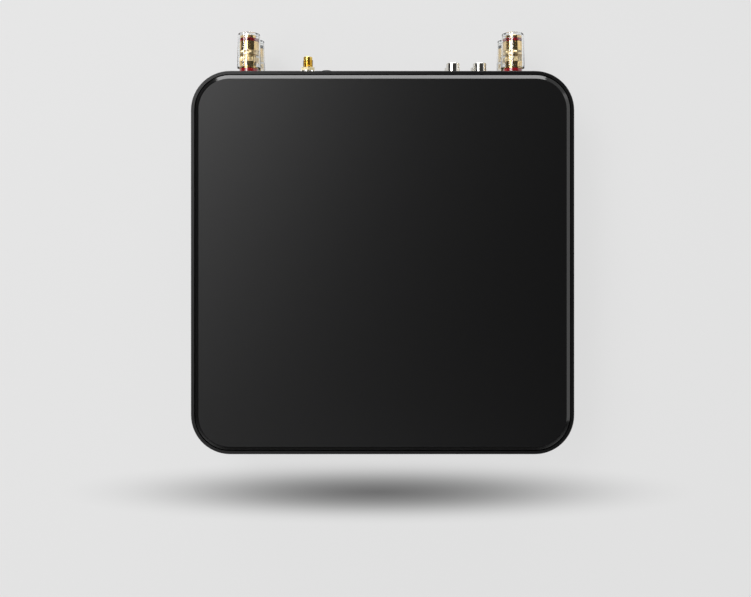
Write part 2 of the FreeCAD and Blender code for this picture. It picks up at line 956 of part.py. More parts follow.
def phono_contacts():
    """The centre contacts that take the plug's pin."""
    contacts = []
    for x, z in phono_places:
        end = rear + phono_reach - phono_core_recess
        start = end - phono_pin_depth
        tube = level(phono_contact_radius, start, end, x, z)
        contacts.append(tube.cut(level(phono_pin_radius, start, end, x, z)))
    return contacts


def phono_screw():
    """The screw between the jacks that holds the block to the wall."""
    length = frame_wall + phono_screw_depth
    return pan_head_screw(Vector(phono_x, rear, phono_middle_z), Vector(0, -1, 0), length)


# Mains inlet

def inlet_body(gap, start, end):
    """The part of the inlet that fills its cut-out, grown by a gap."""
    width = inlet_body_width + 2 * gap
    height = inlet_body_height + 2 * gap
    return rear_slab(width, height, inlet_corner_radius, start, end, inlet_x, inlet_z)


def inlet_pins(gap):
    """The three pins, grown by a gap."""
    bottom = rear + inlet_flange_thickness - inlet_cavity_depth
    tip = bottom + inlet_pin_length
    tail = bottom - inlet_back_wall - inlet_tail_length
    pins = []
    for column, rise in ((-1, -inlet_pin_offset), (0, inlet_pin_offset), (1, -inlet_pin_offset)):
        x = inlet_x + column * inlet_pin_spacing
        z = inlet_z + rise
        half_x = inlet_pin_width / 2 + gap
        half_z = inlet_pin_height / 2 + gap
        pins.append(block((x - half_x, tail, z - half_z), (x + half_x, tip, z + half_z)))
    return pins


def mains_inlet():
    """The three-pin inlet's moulding: a flange, a body through the wall and the plug's cavity."""
    flange_end = rear + inlet_flange_thickness
    bottom = flange_end - inlet_cavity_depth
    body = inlet_body(0, bottom - inlet_back_wall, rear)
    width = inlet_body_width + 2 * inlet_flange_side
    height = inlet_body_height + 2 * inlet_flange_top
    flange = rear_slab(width, height, inlet_corner_radius, rear, flange_end, inlet_x, inlet_z)
    half_x = inlet_cavity_width / 2
    half_z = inlet_cavity_height / 2
    cut = inlet_cavity_chamfer
    corners = [
        (-half_x, -half_z),
        (half_x, -half_z),
        (half_x, half_z - cut),
        (half_x - cut, half_z),
        (cut - half_x, half_z),
        (-half_x, half_z - cut),
        (-half_x, -half_z),
    ]
    points = [Vector(inlet_x + a, bottom, inlet_z + b) for a, b in corners]
    cavity = Part.Face(Part.makePolygon(points)).extrude(Vector(0, inlet_cavity_depth, 0))
    return body.fuse(flange).removeSplitter().cut(cavity).cut(inlet_pins(inlet_pin_fit))


# Power rocker

def rocker_body(gap, start, end):
    """The part of the switch that fills its cut-out, grown by a gap."""
    width = rocker_body_width + 2 * gap
    height = rocker_body_height + 2 * gap
    return rear_slab(width, height, rocker_body_corner + gap, start, end, rocker_x, inlet_z)


def rocker_frame():
    """The switch's moulding: a flange, a body through the wall and the well for the rocker."""
    body = rocker_body(0, rear - rocker_body_depth, rear)
    flange_end = rear + rocker_flange_thickness
    width = rocker_body_width + 2 * rocker_flange_side
    height = rocker_body_height + 2 * rocker_flange_end
    flange = rear_slab(width, height, rocker_flange_corner, rear, flange_end, rocker_x, inlet_z)
    half_x = rocker_width / 2 + rocker_side_gap
    half_z = rocker_length / 2 + rocker_end_gap
    well = block(
        (rocker_x - half_x, rear - rocker_well_depth, inlet_z - half_z),
        (rocker_x + half_x, flange_end, inlet_z + half_z),
    )
    reach = half_x + rocker_pin_length
    pivot = Vector(rocker_x - reach, rear - rocker_pivot_depth, inlet_z)
    holes = Part.makeCylinder(rocker_pin_radius + rocker_pin_gap, 2 * reach, pivot, Vector(1, 0, 0))
    return body.fuse(flange).removeSplitter().cut(well).cut(holes)


def power_rocker():
    """The rocker on its two short pins, with its upper end pressed in."""
    half_x = rocker_width / 2
    half_z = rocker_length / 2
    end_rise = rocker_face_rise + half_z * math.tan(math.radians(rocker_face_angle))
    corners = [
        (-rocker_root_depth, -half_z),
        (end_rise, -half_z),
        (rocker_face_rise, 0),
        (end_rise, half_z),
        (-rocker_root_depth, half_z),
        (-rocker_root_depth, -half_z),
    ]
    points = [Vector(rocker_x - half_x, rear + a, inlet_z + b) for a, b in corners]
    rocker = Part.Face(Part.makePolygon(points)).extrude(Vector(rocker_width, 0, 0))
    reach = half_x + rocker_side_gap + rocker_pin_length - rocker_pin_gap
    pivot = Vector(rocker_x, rear - rocker_pivot_depth, inlet_z)
    pin_start = pivot - Vector(reach, 0, 0)
    pins = Part.makeCylinder(rocker_pin_radius, 2 * reach, pin_start, Vector(1, 0, 0))
    rocker = rocker.fuse(pins)
    rocker.rotate(pivot, Vector(1, 0, 0), rocker_tilt)
    return rocker


# Front controls

def switch_front():
    """The face of the push switches that the buttons' stems enter."""
    return front_inner + button_flange_gap + button_flange_thickness + switch_stand_off


def front_board_front():
    """The side of the front board that the switches are soldered to."""
    return switch_front() + switch_depth


def front_boss_places():
    """The three bosses that carry the front board."""
    return [(power_button_x + window_x) / 2, 0.0, (volume_down_x + volume_up_x) / 2]


def window_pill(gap, start, end):
    """The round-ended outline of the status window, grown by a gap."""
    radius = window_height / 2 + gap
    half = (window_width - window_height) / 2
    pill = block((window_x - half, start, button_z - radius), (window_x + half, end, button_z + radius))
    for side in (-1, 1):
        pill = pill.fuse(level(radius, start, end, window_x + side * half, button_z))
    return pill.removeSplitter()


def status_window():
    """A smoked window over the infrared receiver, with a lip behind the wall."""
    window = window_pill(0, front + window_recess, front_inner)
    lip = window_pill(window_lip, front_inner, front_inner + window_lip_thickness)
    return window.fuse(lip).removeSplitter()


def push_button(x):
    """A button with a flange behind the wall and a stem that enters its switch."""
    cap = level(button_radius, front - button_proud, front_inner + button_flange_gap, x, button_z)
    edge = min(cap.Edges, key=lambda e: e.CenterOfMass.y)
    cap = cap.makeChamfer(button_edge, [edge])
    flange_start = front_inner + button_flange_gap
    flange_end = flange_start + button_flange_thickness
    flange_radius_here = button_radius + button_flange_overlap
    flange = level(flange_radius_here, flange_start, flange_end, x, button_z)
    stem = level(button_stem_radius, flange_end, switch_front() + button_stem_insertion, x, button_z)
    return cap.fuse(flange).fuse(stem).removeSplitter()


def front_switches():
    """The push switches behind the buttons."""
    switches = []
    half = switch_width / 2
    for x in button_places.values():
        body = block(
            (x - half, switch_front(), button_z - half),
            (x + half, front_board_front(), button_z + half),
        )
        well_end = switch_front() + button_stem_insertion + button_travel + button_flange_gap
        well = level(button_stem_radius + switch_stem_gap, switch_front(), well_end, x, button_z)
        switches.append(body.cut(well))
    return switches


def front_board():
    """The long narrow board behind the front wall."""
    left = power_button_x - front_board_margin
    right = volume_up_x + front_board_margin
    half = front_board_height / 2
    start = front_board_front()
    board = block((left, start, button_z - half), (right, start + board_thickness, button_z + half))
    for x in front_boss_places():
        hole = level(screw_radius + screw_clearance, start, start + board_thickness, x, front_boss_z)
        board = board.cut(hole)
    return board


def infrared_receiver():
    """The remote control's receiver, between the front board and the window."""
    start = front_inner + window_lip_thickness
    half_x = receiver_width / 2
    half_z = receiver_height / 2
    return block(
        (window_x - half_x, start, button_z - half_z),
        (window_x + half_x, front_board_front(), button_z + half_z),
    )


# Boards inside

def power_board_corners():
    """Left, front, right and rear edges of the power board."""
    left = frame_wall + power_board_side_gap - case_width / 2
    start = case_y + power_board_front
    return (left, start, left + power_board_width, start + power_board_depth)


def main_board_corners():
    """Left, front, right and rear edges of the main board."""
    left = power_board_corners()[2] + board_spacing
    right = case_width / 2 - frame_wall - main_board_side_gap
    back = rear_inner - main_board_rear_gap
    return (left, back - main_board_depth, right, back)


def board_holes(corners):
    """The four screw holes of a board."""
    left, start, right, back = corners
    xs = (left + board_margin, right - board_margin)
    ys = (start + board_margin, back - board_margin)
    return [(x, y) for x in xs for y in ys]


def standoff_places():
    """All the standoffs on the floor."""
    return board_holes(main_board_corners()) + board_holes(power_board_corners())


def level_board(corners):
    """A board lying on its standoffs."""
    left, start, right, back = corners
    board = block((left, start, board_bottom), (right, back, board_top))
    for x, y in board_holes(corners):
        board = board.cut(upright(screw_radius + screw_clearance, board_bottom, board_top, x, y))
    return board


def board_standoffs():
    """Turned standoffs riveted into the floor."""
    standoffs = []
    for x, y in standoff_places():
        body = upright(standoff_radius, floor_top, board_bottom, x, y)
        spigot = upright(standoff_spigot_radius, frame_bottom, floor_top, x, y)
        hole_bottom = board_top - board_screw_depth - screw_spare_depth
        hole = upright(screw_radius + screw_clearance, hole_bottom, board_bottom, x, y)
        standoffs.append(body.fuse(spigot).cut(hole))
    return standoffs


def board_screws():
    """Screws for the boards that lie on the floor and for the front board."""
    down = Vector(0, 0, -1)
    forward = Vector(0, -1, 0)
    screws = []
    for x, y in standoff_places():
        screws.append(pan_head_screw(Vector(x, y, board_top), down, board_screw_depth))
    back = front_board_front() + board_thickness
    for x in front_boss_places():
        screws.append(pan_head_screw(Vector(x, back, front_boss_z), forward, board_screw_depth))
    return screws


def main_board_middle():
    """The middle of the main board, where the heatsink stands."""
    left, start, right, back = main_board_corners()
    return ((left + right) / 2, (start + back) / 2)


def amplifier_chips():
    """Two power amplifier chips under the heatsink."""
    middle, y = main_board_middle()
    chips = []
    for side in (-1, 1):
        x = middle + side * chip_pitch / 2
        chips.append(block(
            (x - chip_width / 2, y - chip_depth / 2, board_top),
            (x + chip_width / 2, y + chip_depth / 2, board_top + chip_thickness),
        ))
    return chips


def heatsink():
    """A finned block pressed on the chips, standing on two legs."""
    x, y = main_board_middle()
    half_x = heatsink_width / 2
    half_y = heatsink_depth / 2
    bottom = board_top + chip_thickness
    base_top = bottom + heatsink_base
    top = bottom + heatsink_height
    sink = block((x - half_x, y - half_y, bottom), (x + half_x, y + half_y, base_top))
    step = (heatsink_width - heatsink_fin_thickness) / (heatsink_fin_count - 1)
    for index in range(heatsink_fin_count):
        start = x - half_x + index * step
        end = start + heatsink_fin_thickness
        sink = sink.fuse(block((start, y - half_y, base_top), (end, y + half_y, top)))
    for side in (-1, 1):
        inner = x + side * (half_x - heatsink_leg_width)
        outer = x + side * half_x
        half_leg = heatsink_leg_width / 2
        leg = block(
            (min(inner, outer), y - half_leg, board_top),
            (max(inner, outer), y + half_leg, bottom),
        )
        sink = sink.fuse(leg)
    return sink.removeSplitter()


def output_inductors():
    """Filter inductors in a row in front of the heatsink."""
    middle, heatsink_y = main_board_middle()
    y = heatsink_y - heatsink_depth / 2 - inductor_width
    top = board_top + inductor_height
    inductors = []
    half = inductor_width / 2
    for index in range(inductor_count):
        x = middle + (index - (inductor_count - 1) / 2) * inductor_pitch
        body = block((x - half, y - half, board_top), (x + half, y + half, top))
        uprights = [e for e in body.Edges if abs(e.Vertexes[0].Z - e.Vertexes[1].Z) > inductor_height / 2]
        inductors.append(body.makeChamfer(inductor_chamfer, uprights))
    return inductors


def electrolytic_capacitors():
    """Capacitors: small ones behind the heatsink, large ones on the power board."""
    capacitors = []
    middle, heatsink_y = main_board_middle()
    y = heatsink_y + heatsink_depth / 2 + capacitor_gap + small_capacitor_radius
    top = board_top + small_capacitor_height
    for index in range(small_capacitor_count):
        x = middle + (index - (small_capacitor_count - 1) / 2) * small_capacitor_pitch
        capacitors.append(upright(small_capacitor_radius, board_top, top, x, y))
    left, start, right, back = power_board_corners()
    y = start + large_capacitor_inset
    top = board_top + large_capacitor_height
    for index in range(large_capacitor_count):
        x = (left + right) / 2 + (index - (large_capacitor_count - 1) / 2) * large_capacitor_pitch
        capacitors.append(upright(large_capacitor_radius, board_top, top, x, y))
    return capacitors


def power_transformer():
    """The supply's transformer: a wound bobbin in a ferrite core."""
    left, start, right, back = power_board_corners()
    x = (left + right) / 2
    y = (start + back) / 2 + transformer_offset
    half_x = transformer_width / 2
    half_y = transformer_depth / 2
    bobbin_top = board_top + transformer_core_height + transformer_bobbin_rise
    core = block(
        (x - half_x, y - half_y, board_top + transformer_bobbin_rise),
        (x + half_x, y + half_y, board_top + transformer_core_height),
    )
    inset = transformer_bobbin_margin
    bobbin = block(
        (x - half_x + inset, y - half_y - inset, board_top),
        (x + half_x - inset, y + half_y + inset, bobbin_top),
    )
    return core.fuse(bobbin).removeSplitter()


def radio_board_corners():
    """Left, lower, right and upper edges of the radio board."""
    left = antenna_x - radio_board_margin
    right = aux_x + aux_body_width / 2 + radio_board_end
    top = lid_bottom - radio_board_lid_gap
    return (left, top - radio_board_height, right, top)


def radio_board():
    """The small upright board that the antenna jack and the small jack hold."""
    left, low, right, top = radio_board_corners()
    face = radio_board_face()
    return block((left, face - board_thickness, low), (right, face, top))


def radio_module():
    """The shielded wireless module on the radio board."""
    left, low, right, top = radio_board_corners()
    x = (left + right) / 2
    z = (low + top) / 2
    back = radio_board_face() - board_thickness
    return block(
        (x - radio_can_width / 2, back - radio_can_thickness, z - radio_can_height / 2),
        (x + radio_can_width / 2, back, z + radio_can_height / 2),
    )


def internal_wires():
    """Wires from the studs, the inlet, the supply and the radio board to the boards."""
    routes = speaker_wire_routes() + mains_wire_routes() + supply_wire_routes() + [radio_wire_route()]
    return [routed_wire([Vector(*point) for point in route]) for route in routes]


def speaker_wire_routes():
    """From each stud's inner end across to the main board and down on it."""
    stud_end = rear_inner - stud_inner_length
    left, start, right, back = main_board_corners()
    routes = []
    for index, z in enumerate((post_upper_z, post_lower_z)):
        row = rear_inner - left_wire_row - index * left_wire_row_pitch
        drop = left + left_wire_inset + index * left_wire_pitch
        x = left_post_x
        routes.append([(x, stud_end, z), (x, row, z), (drop, row, z), (drop, row, board_top)])
        row = stud_end - right_wire_row + index * right_wire_row_pitch
        drop = right - right_wire_inset - index * right_wire_pitch
        x = right_post_x
        routes.append([(x, stud_end, z), (x, row, z), (drop, row, z), (drop, row, board_top)])
    return routes


def mains_wire_routes():
    """From the inlet's two outer pins to the power board."""
    left, start, right, back = power_board_corners()
    tail = rear + inlet_flange_thickness - inlet_cavity_depth - inlet_back_wall - inlet_tail_length
    z = inlet_z - inlet_pin_offset
    landing = back - wire_edge_margin
    routes = []
    for index, side in enumerate((-1, 1)):
        pin = inlet_x + side * inlet_pin_spacing
        row = tail - mains_wire_row - index * mains_wire_row_pitch
        drop = right - mains_wire_inset + index * mains_wire_pitch
        routes.append([
            (pin, tail, z),
            (pin, row, z),
            (drop, row, z),
            (drop, landing, z),
            (drop, landing, board_top),
        ])
    return routes


def supply_wire_routes():
    """Two hoops from the power board to the main board."""
    left, start, right, back = power_board_corners()
    near = right - wire_edge_margin
    far = main_board_corners()[0] + supply_wire_landing
    top = board_top + supply_wire_rise
    routes = []
    for index in range(2):
        y = back - supply_wire_inset - index * supply_wire_pitch
        routes.append([(near, y, board_top), (near, y, top), (far, y, top), (far, y, board_top)])
    return routes


def radio_wire_route():
    """From the radio board to the main board."""
    left, low, right, top = radio_board_corners()
    x = right - radio_wire_inset
    y = radio_board_face() - board_thickness
    z = low + radio_wire_rise
    row = y - radio_wire_row
    drop = main_board_corners()[0] + radio_wire_landing
    return [(x, y, z), (x, row, z), (drop, row, z), (drop, row, board_top)]


def export(name, shape):
    """Writes one piece, or one group of like pieces, as a STEP file."""
    if isinstance(shape, list):
        solids = [solid for item in shape for solid in item.Solids]
        shape = Part.makeCompound(solids) if len(solids) > 1 else solids[0]
    shape.exportStep(os.path.join("parts", name + ".step"))


os.makedirs("parts", exist_ok=True)

export("top_cover", top_cover())
export("side_frame", side_frame())
export("bottom_cover", bottom_cover())
export("case_screws", case_screws())
export("rubber_feet", rubber_feet())
export("foot_screws", foot_screws())
export("post_studs", post_studs())
export("post_flanges", post_flanges())
export("positive_base_washers", base_washers("positive"))
export("negative_base_washers", base_washers("negative"))
export("post_inner_insulators", post_inner_insulators())
export("post_lock_nuts", post_lock_nuts())
for post_name, post_place in post_places.items():
    export(post_name + "_clamp_washer", clamp_washer(*post_place))
    export(post_name + "_clamp_nut", clamp_nut(*post_place))
    export(post_name + "_colour_ring", colour_ring(*post_place))
    export(post_name + "_clear_shell", clear_shell(*post_place))
export("antenna_jack", antenna_jack())
export("antenna_insulator", antenna_insulator())
export("antenna_washers", antenna_washers())
export("antenna_nut", antenna_nut())
export("aux_jack", aux_jack())
export("phono_housing", phono_housing())
export("phono_shells", phono_shells())
export("phono_contacts", phono_contacts())
export("phono_screw", phono_screw())
export("mains_inlet", mains_inlet())
export("mains_inlet_pins", inlet_pins(0))
export("rocker_frame", rocker_frame())
export("power_rocker", power_rocker())
export("status_window", status_window())
for button_name, button_x in button_places.items():
    export(button_name, push_button(button_x))
export("front_switches", front_switches())
export("front_board", front_board())
export("infrared_receiver", infrared_receiver())
export("main_board", level_board(main_board_corners()))
export("power_board", level_board(power_board_corners()))
export("board_standoffs", board_standoffs())
export("board_screws", board_screws())
export("amplifier_chips", amplifier_chips())
export("heatsink", heatsink())
export("output_inductors", output_inductors())
export("electrolytic_capacitors", electrolytic_capacitors())
export("power_transformer", power_transformer())
export("radio_board", radio_board())
export("radio_module", radio_module())
export("internal_wires", internal_wires())
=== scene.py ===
"""Bluetooth amplifier, dressed and lit as in its picture. Metres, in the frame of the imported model."""

import bpy
import math
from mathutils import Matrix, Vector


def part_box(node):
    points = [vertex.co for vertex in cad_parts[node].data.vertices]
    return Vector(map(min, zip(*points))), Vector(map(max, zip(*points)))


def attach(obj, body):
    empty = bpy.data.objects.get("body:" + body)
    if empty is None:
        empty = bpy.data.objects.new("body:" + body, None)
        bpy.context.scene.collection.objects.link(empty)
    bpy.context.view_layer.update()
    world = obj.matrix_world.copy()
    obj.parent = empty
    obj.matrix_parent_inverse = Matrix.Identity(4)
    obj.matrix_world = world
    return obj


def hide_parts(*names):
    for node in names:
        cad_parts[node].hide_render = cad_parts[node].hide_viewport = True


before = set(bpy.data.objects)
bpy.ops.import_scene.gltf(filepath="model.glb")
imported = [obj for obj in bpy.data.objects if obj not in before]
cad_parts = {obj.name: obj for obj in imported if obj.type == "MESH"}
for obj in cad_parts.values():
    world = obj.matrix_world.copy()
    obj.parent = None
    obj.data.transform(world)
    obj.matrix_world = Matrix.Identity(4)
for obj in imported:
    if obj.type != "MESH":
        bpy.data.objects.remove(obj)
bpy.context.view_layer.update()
mm = 0.001


# The studio: a pale paper floor with a soft shadow painted into its colour in front of the case, a
# camera straight above the amplifier, a large soft light high on the left with a small one beside it,
# a wide low one behind the connectors, and weak ones at the right, at the right rear corner and in front.

picture_width = 751
picture_height = 597
case_middle_px = (382.6, 262.7)
nadir_row_px = 230.9
camera_height = 500 * mm
focal_px = 819.0
sensor_width = 36.0

case_low, case_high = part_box("top_cover")
case_x = (case_low.x + case_high.x) / 2
case_y = (case_low.y + case_high.y) / 2
lid_top = case_high.z
px_per_metre = focal_px / camera_height

camera_data = bpy.data.cameras.new("picture_camera")
camera_data.sensor_width = sensor_width
camera_data.lens = sensor_width * focal_px / picture_width
camera_data.shift_x = (picture_width / 2 - case_middle_px[0]) / picture_width
camera_data.shift_y = (nadir_row_px - picture_height / 2) / picture_width
camera_data.clip_start = 0.01
camera = bpy.data.objects.new("picture_camera", camera_data)
camera.location = (
    case_x,
    case_y + (case_middle_px[1] - nadir_row_px) / px_per_metre,
    lid_top + camera_height,
)
bpy.context.scene.collection.objects.link(camera)
bpy.context.scene.camera = camera
bpy.context.scene.view_settings.view_transform = "Standard"


def soft_light(name, place, target, width, height, power):
    """A white rectangular soft box that faces a point."""
    data = bpy.data.lights.new(name, "AREA")
    data.shape = "RECTANGLE"
    data.size = width
    data.size_y = height
    data.energy = power
    light = bpy.data.objects.new(name, data)
    light.location = place
    aim = light.location - target
    light.rotation_euler = aim.to_track_quat("Z", "Y").to_euler()
    bpy.context.scene.collection.objects.link(light)


middle = camera.location.copy()
middle.z = lid_top
soft_light("left_light", (-0.57, 0.16, 1.0), middle, 1.0, 0.6, 6.7)
soft_light("corner_light", (-0.45, 0.5, 1.0), middle, 0.35, 0.35, 4.0)
soft_light("rear_light", (-0.05, 1.5, 0.42), middle, 1.7, 0.79, 22.7)
soft_light("right_light", (0.95, 0.08, 0.3), middle, 1.06, 0.5, 1.59)
soft_light("rear_corner_light", (1.05, 0.95, 0.3), middle, 0.9, 0.5, 0.7)
soft_light("front_light", (-0.15, -0.75, 0.95), middle, 0.9, 0.4, 2.3)

room_tone = 0.05
wall_tone = 0.78
world = bpy.data.worlds.new("studio")
world.use_nodes = True
nodes = world.node_tree.nodes
links = world.node_tree.links
seen = nodes.new("ShaderNodeLightPath")
wall = nodes.new("ShaderNodeMix")
wall.data_type = "RGBA"
wall.inputs["A"].default_value = (room_tone, room_tone, room_tone, 1)
wall.inputs["B"].default_value = (wall_tone, wall_tone, wall_tone, 1)
links.new(seen.outputs["Is Camera Ray"], wall.inputs["Factor"])
links.new(wall.outputs["Result"], nodes["Background"].inputs["Color"])
bpy.context.scene.world = world

paper_size = 8.0
# A soft elliptical shadow painted into the floor's colour in front of the case, darkest at its middle; the
# floor's glow carries the painted shadow too
painted_shadow_middle_px = (378.0, 492.0)
painted_shadow_reach_px = (320.0, 33.0)
paper_tone = 0.783
painted_shadow_tone = 0.155
steps_between = ((0.2, 0.73), (0.4, 0.56), (0.6, 0.35), (0.8, 0.22))
glow_share = 0.88
floor_px_per_metre = focal_px / (camera_height + lid_top)
painted_shadow_x = case_x + (painted_shadow_middle_px[0] - case_middle_px[0]) / floor_px_per_metre
painted_shadow_y = camera.location.y - (painted_shadow_middle_px[1] - nadir_row_px) / floor_px_per_metre

bpy.ops.object.select_all(action="DESELECT")
bpy.ops.mesh.primitive_plane_add(size=paper_size, location=(0, 0, 0))
floor = bpy.context.object
floor.name = "floor"
paper = bpy.data.materials.new("pale_paper_with_painted_shadow")
paper.use_nodes = True
nodes = paper.node_tree.nodes
links = paper.node_tree.links
surface = nodes["Principled BSDF"]
surface.inputs["Roughness"].default_value = 0.9
surface.inputs["Specular IOR Level"].default_value = 0.1
place = nodes.new("ShaderNodeTexCoord")
centre_painted_shadow = nodes.new("ShaderNodeMapping")
centre_painted_shadow.vector_type = "TEXTURE"
centre_painted_shadow.inputs["Location"].default_value = (painted_shadow_x, painted_shadow_y, 0)
centre_painted_shadow.inputs["Scale"].default_value = (
    painted_shadow_reach_px[0] / floor_px_per_metre,
    painted_shadow_reach_px[1] / floor_px_per_metre,
    1,
)
shade = nodes.new("ShaderNodeTexGradient")
shade.gradient_type = "SPHERICAL"
tone = nodes.new("ShaderNodeValToRGB")
tone.color_ramp.interpolation = "B_SPLINE"
tone.color_ramp.elements[0].color = (paper_tone, paper_tone, paper_tone, 1)
tone.color_ramp.elements[1].color = (painted_shadow_tone, painted_shadow_tone, painted_shadow_tone, 1)
for position, level in steps_between:
    stop = tone.color_ramp.elements.new(position)
    stop.color = (level, level, level, 1)
links.new(place.outputs["Object"], centre_painted_shadow.inputs["Vector"])
links.new(centre_painted_shadow.outputs["Vector"], shade.inputs["Vector"])
links.new(shade.outputs["Fac"], tone.inputs["Fac"])
links.new(tone.outputs["Color"], surface.inputs["Base Color"])
glow = nodes.new("ShaderNodeEmission")
links.new(tone.outputs["Color"], glow.inputs["Color"])
seen = nodes.new("ShaderNodeLightPath")
share = nodes.new("ShaderNodeMath")
share.operation = "MULTIPLY"
share.inputs[1].default_value = glow_share
straight = nodes.new("ShaderNodeMath")
straight.operation = "MAXIMUM"
direct = nodes.new("ShaderNodeMath")
direct.operation = "MAXIMUM"
links.new(seen.outputs["Is Glossy Ray"], straight.inputs[0])
links.new(seen.outputs["Is Transmission Ray"], straight.inputs[1])
links.new(seen.outputs["Is Camera Ray"], direct.inputs[0])
links.new(straight.outputs["Value"], direct.inputs[1])
links.new(direct.outputs["Value"], share.inputs[0])
both = nodes.new("ShaderNodeMixShader")
links.new(share.outputs["Value"], both.inputs["Fac"])
links.new(surface.outputs["BSDF"], both.inputs[1])
links.new(glow.outputs["Emission"], both.inputs[2])
links.new(both.outputs["Shader"], nodes["Material Output"].inputs["Surface"])
floor.data.materials.append(paper)


# The lid: a flat aluminium plate with a broad milled chamfer, bead blasted and anodised black.
# Four bosses under it take the long screws that come up through the frame's columns.

def finish(name, colour, metallic, roughness, specular=0.5):
    """A named material with one plain shader, ready for its texture."""
    material = bpy.data.materials.new(name)
    material.use_nodes = True
    shader = material.node_tree.nodes["Principled BSDF"]
    shader.inputs["Base Color"].default_value = (*colour, 1)
    shader.inputs["Metallic"].default_value = metallic
    shader.inputs["Roughness"].default_value = roughness
    shader.inputs["Specular IOR Level"].default_value = specular
    return material


def grain(material, scale, depth, light, dark, roughness, stretch=(1, 1, 1)):
    """Fine noise over a material: dents of a depth, a colour between two, a roughness between two."""
    tree = material.node_tree
    shader = tree.nodes["Principled BSDF"]
    spot = tree.nodes.new("ShaderNodeTexCoord")
    turn = tree.nodes.new("ShaderNodeMapping")
    turn.inputs["Scale"].default_value = stretch
    noise = tree.nodes.new("ShaderNodeTexNoise")
    noise.inputs["Scale"].default_value = scale
    noise.inputs["Detail"].default_value = 4
    tree.links.new(spot.outputs["Object"], turn.inputs["Vector"])
    tree.links.new(turn.outputs["Vector"], noise.inputs["Vector"])
    bump = tree.nodes.new("ShaderNodeBump")
    bump.inputs["Strength"].default_value = 1.0
    bump.inputs["Distance"].default_value = depth
    tree.links.new(noise.outputs["Fac"], bump.inputs["Height"])
    tree.links.new(bump.outputs["Normal"], shader.inputs["Normal"])
    tint = tree.nodes.new("ShaderNodeMix")
    tint.data_type = "RGBA"
    tint.inputs["A"].default_value = (*dark, 1)
    tint.inputs["B"].default_value = (*light, 1)
    tree.links.new(noise.outputs["Fac"], tint.inputs["Factor"])
    tree.links.new(tint.outputs["Result"], shader.inputs["Base Color"])
    spread = tree.nodes.new("ShaderNodeMapRange")
    spread.inputs["To Min"].default_value = roughness[0]
    spread.inputs["To Max"].default_value = roughness[1]
    tree.links.new(noise.outputs["Fac"], spread.inputs["Value"])
    tree.links.new(spread.outputs["Result"], shader.inputs["Roughness"])
    return tint


def dust(material, tint, size, amount, colour):
    """A few pale specks of dust over a material's colour."""
    tree = material.node_tree
    spot = tree.nodes.new("ShaderNodeTexCoord")
    cells = tree.nodes.new("ShaderNodeTexVoronoi")
    cells.inputs["Scale"].default_value = amount
    reach = tree.nodes.new("ShaderNodeMath")
    reach.operation = "LESS_THAN"
    reach.inputs[1].default_value = size * amount
    mixed = tree.nodes.new("ShaderNodeMix")
    mixed.data_type = "RGBA"
    mixed.inputs["B"].default_value = (*colour, 1)
    tree.links.new(spot.outputs["Object"], cells.inputs["Vector"])
    tree.links.new(cells.outputs["Distance"], reach.inputs[0])
    tree.links.new(reach.outputs["Value"], mixed.inputs["Factor"])
    tree.links.new(tint.outputs["Result"], mixed.inputs["A"])
    tree.links.new(mixed.outputs["Result"], tree.nodes["Principled BSDF"].inputs["Base Color"])


blasted_black = finish("blasted_black_anodising", (0.0025, 0.0025, 0.0027), 0.0, 0.41, 0.27)
pale_black = (0.0035, 0.0035, 0.0038)
deep_black = (0.0015, 0.0015, 0.0016)
blasted_tint = grain(blasted_black, 2400, 0.012 * mm, pale_black, deep_black, roughness=(0.37, 0.45))
dust(blasted_black, blasted_tint, 0.14 * mm, 70, (0.03, 0.03, 0.03))
milled_black = finish("milled_black_anodising", (0.002, 0.002, 0.002), 0.0, 0.15, 0.6)
grain(
    milled_black, 900, 0.002 * mm, (0.003, 0.003, 0.003), (0.001, 0.001, 0.001), roughness=(0.12, 0.18)
)


def pick(piece, rule):
    """Leaves the piece in edit mode with the vertices selected whose place passes the rule."""
    bpy.ops.object.mode_set(mode="EDIT")
    bpy.ops.mesh.select_mode(type="VERT")
    bpy.ops.mesh.select_all(action="DESELECT")
    bpy.ops.object.mode_set(mode="OBJECT")
    for vertex in piece.data.vertices:
        vertex.select = rule(vertex.co)
    bpy.ops.object.mode_set(mode="EDIT")


smooth_angle = math.radians(28)


def settle(piece, name, body, material, node):
    """Names a finished piece, smooths it, gives it its finish and puts it in its node's place."""
    piece.name = name
    piece.data.name = name
    bpy.ops.object.select_all(action="DESELECT")
    piece.select_set(True)
    bpy.context.view_layer.objects.active = piece
    bpy.ops.object.shade_smooth_by_angle(angle=smooth_angle)
    flat = piece.modifiers.new("flat_faces", "WEIGHTED_NORMAL")
    flat.keep_sharp = True
    bpy.ops.object.modifier_apply(modifier="flat_faces")
    if not piece.data.materials:
        piece.data.materials.append(material)
    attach(piece, body)
    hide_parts(node)


def start_block(low, high):
    """A block between two corners, its object at the origin."""
    bpy.ops.object.select_all(action="DESELECT")
    size = [b - a for a, b in zip(low, high)]
    centre = [(a + b) / 2 for a, b in zip(low, high)]
    bpy.ops.mesh.primitive_cube_add(size=1, location=centre)
    block = bpy.context.object
    block.scale = size
    bpy.ops.object.transform_apply(location=True, rotation=True, scale=True)
    return block


def soften(piece, width, angle=30):
    """Rounds every edge of a piece that is sharper than an angle in degrees."""
    edge = piece.modifiers.new("edge", "BEVEL")
    edge.width = width
    edge.segments = 2
    edge.limit_method = "ANGLE"
    edge.angle_limit = math.radians(angle)
    edge.use_clamp_overlap = False
    bpy.context.view_layer.objects.active = piece
    bpy.ops.object.modifier_apply(modifier="edge")


def joined(pieces):
    """Several meshes as one."""
    bpy.ops.object.select_all(action="DESELECT")
    for piece in pieces:
        piece.select_set(True)
    bpy.context.view_layer.objects.active = pieces[0]
    bpy.ops.object.join()
    return pieces[0]


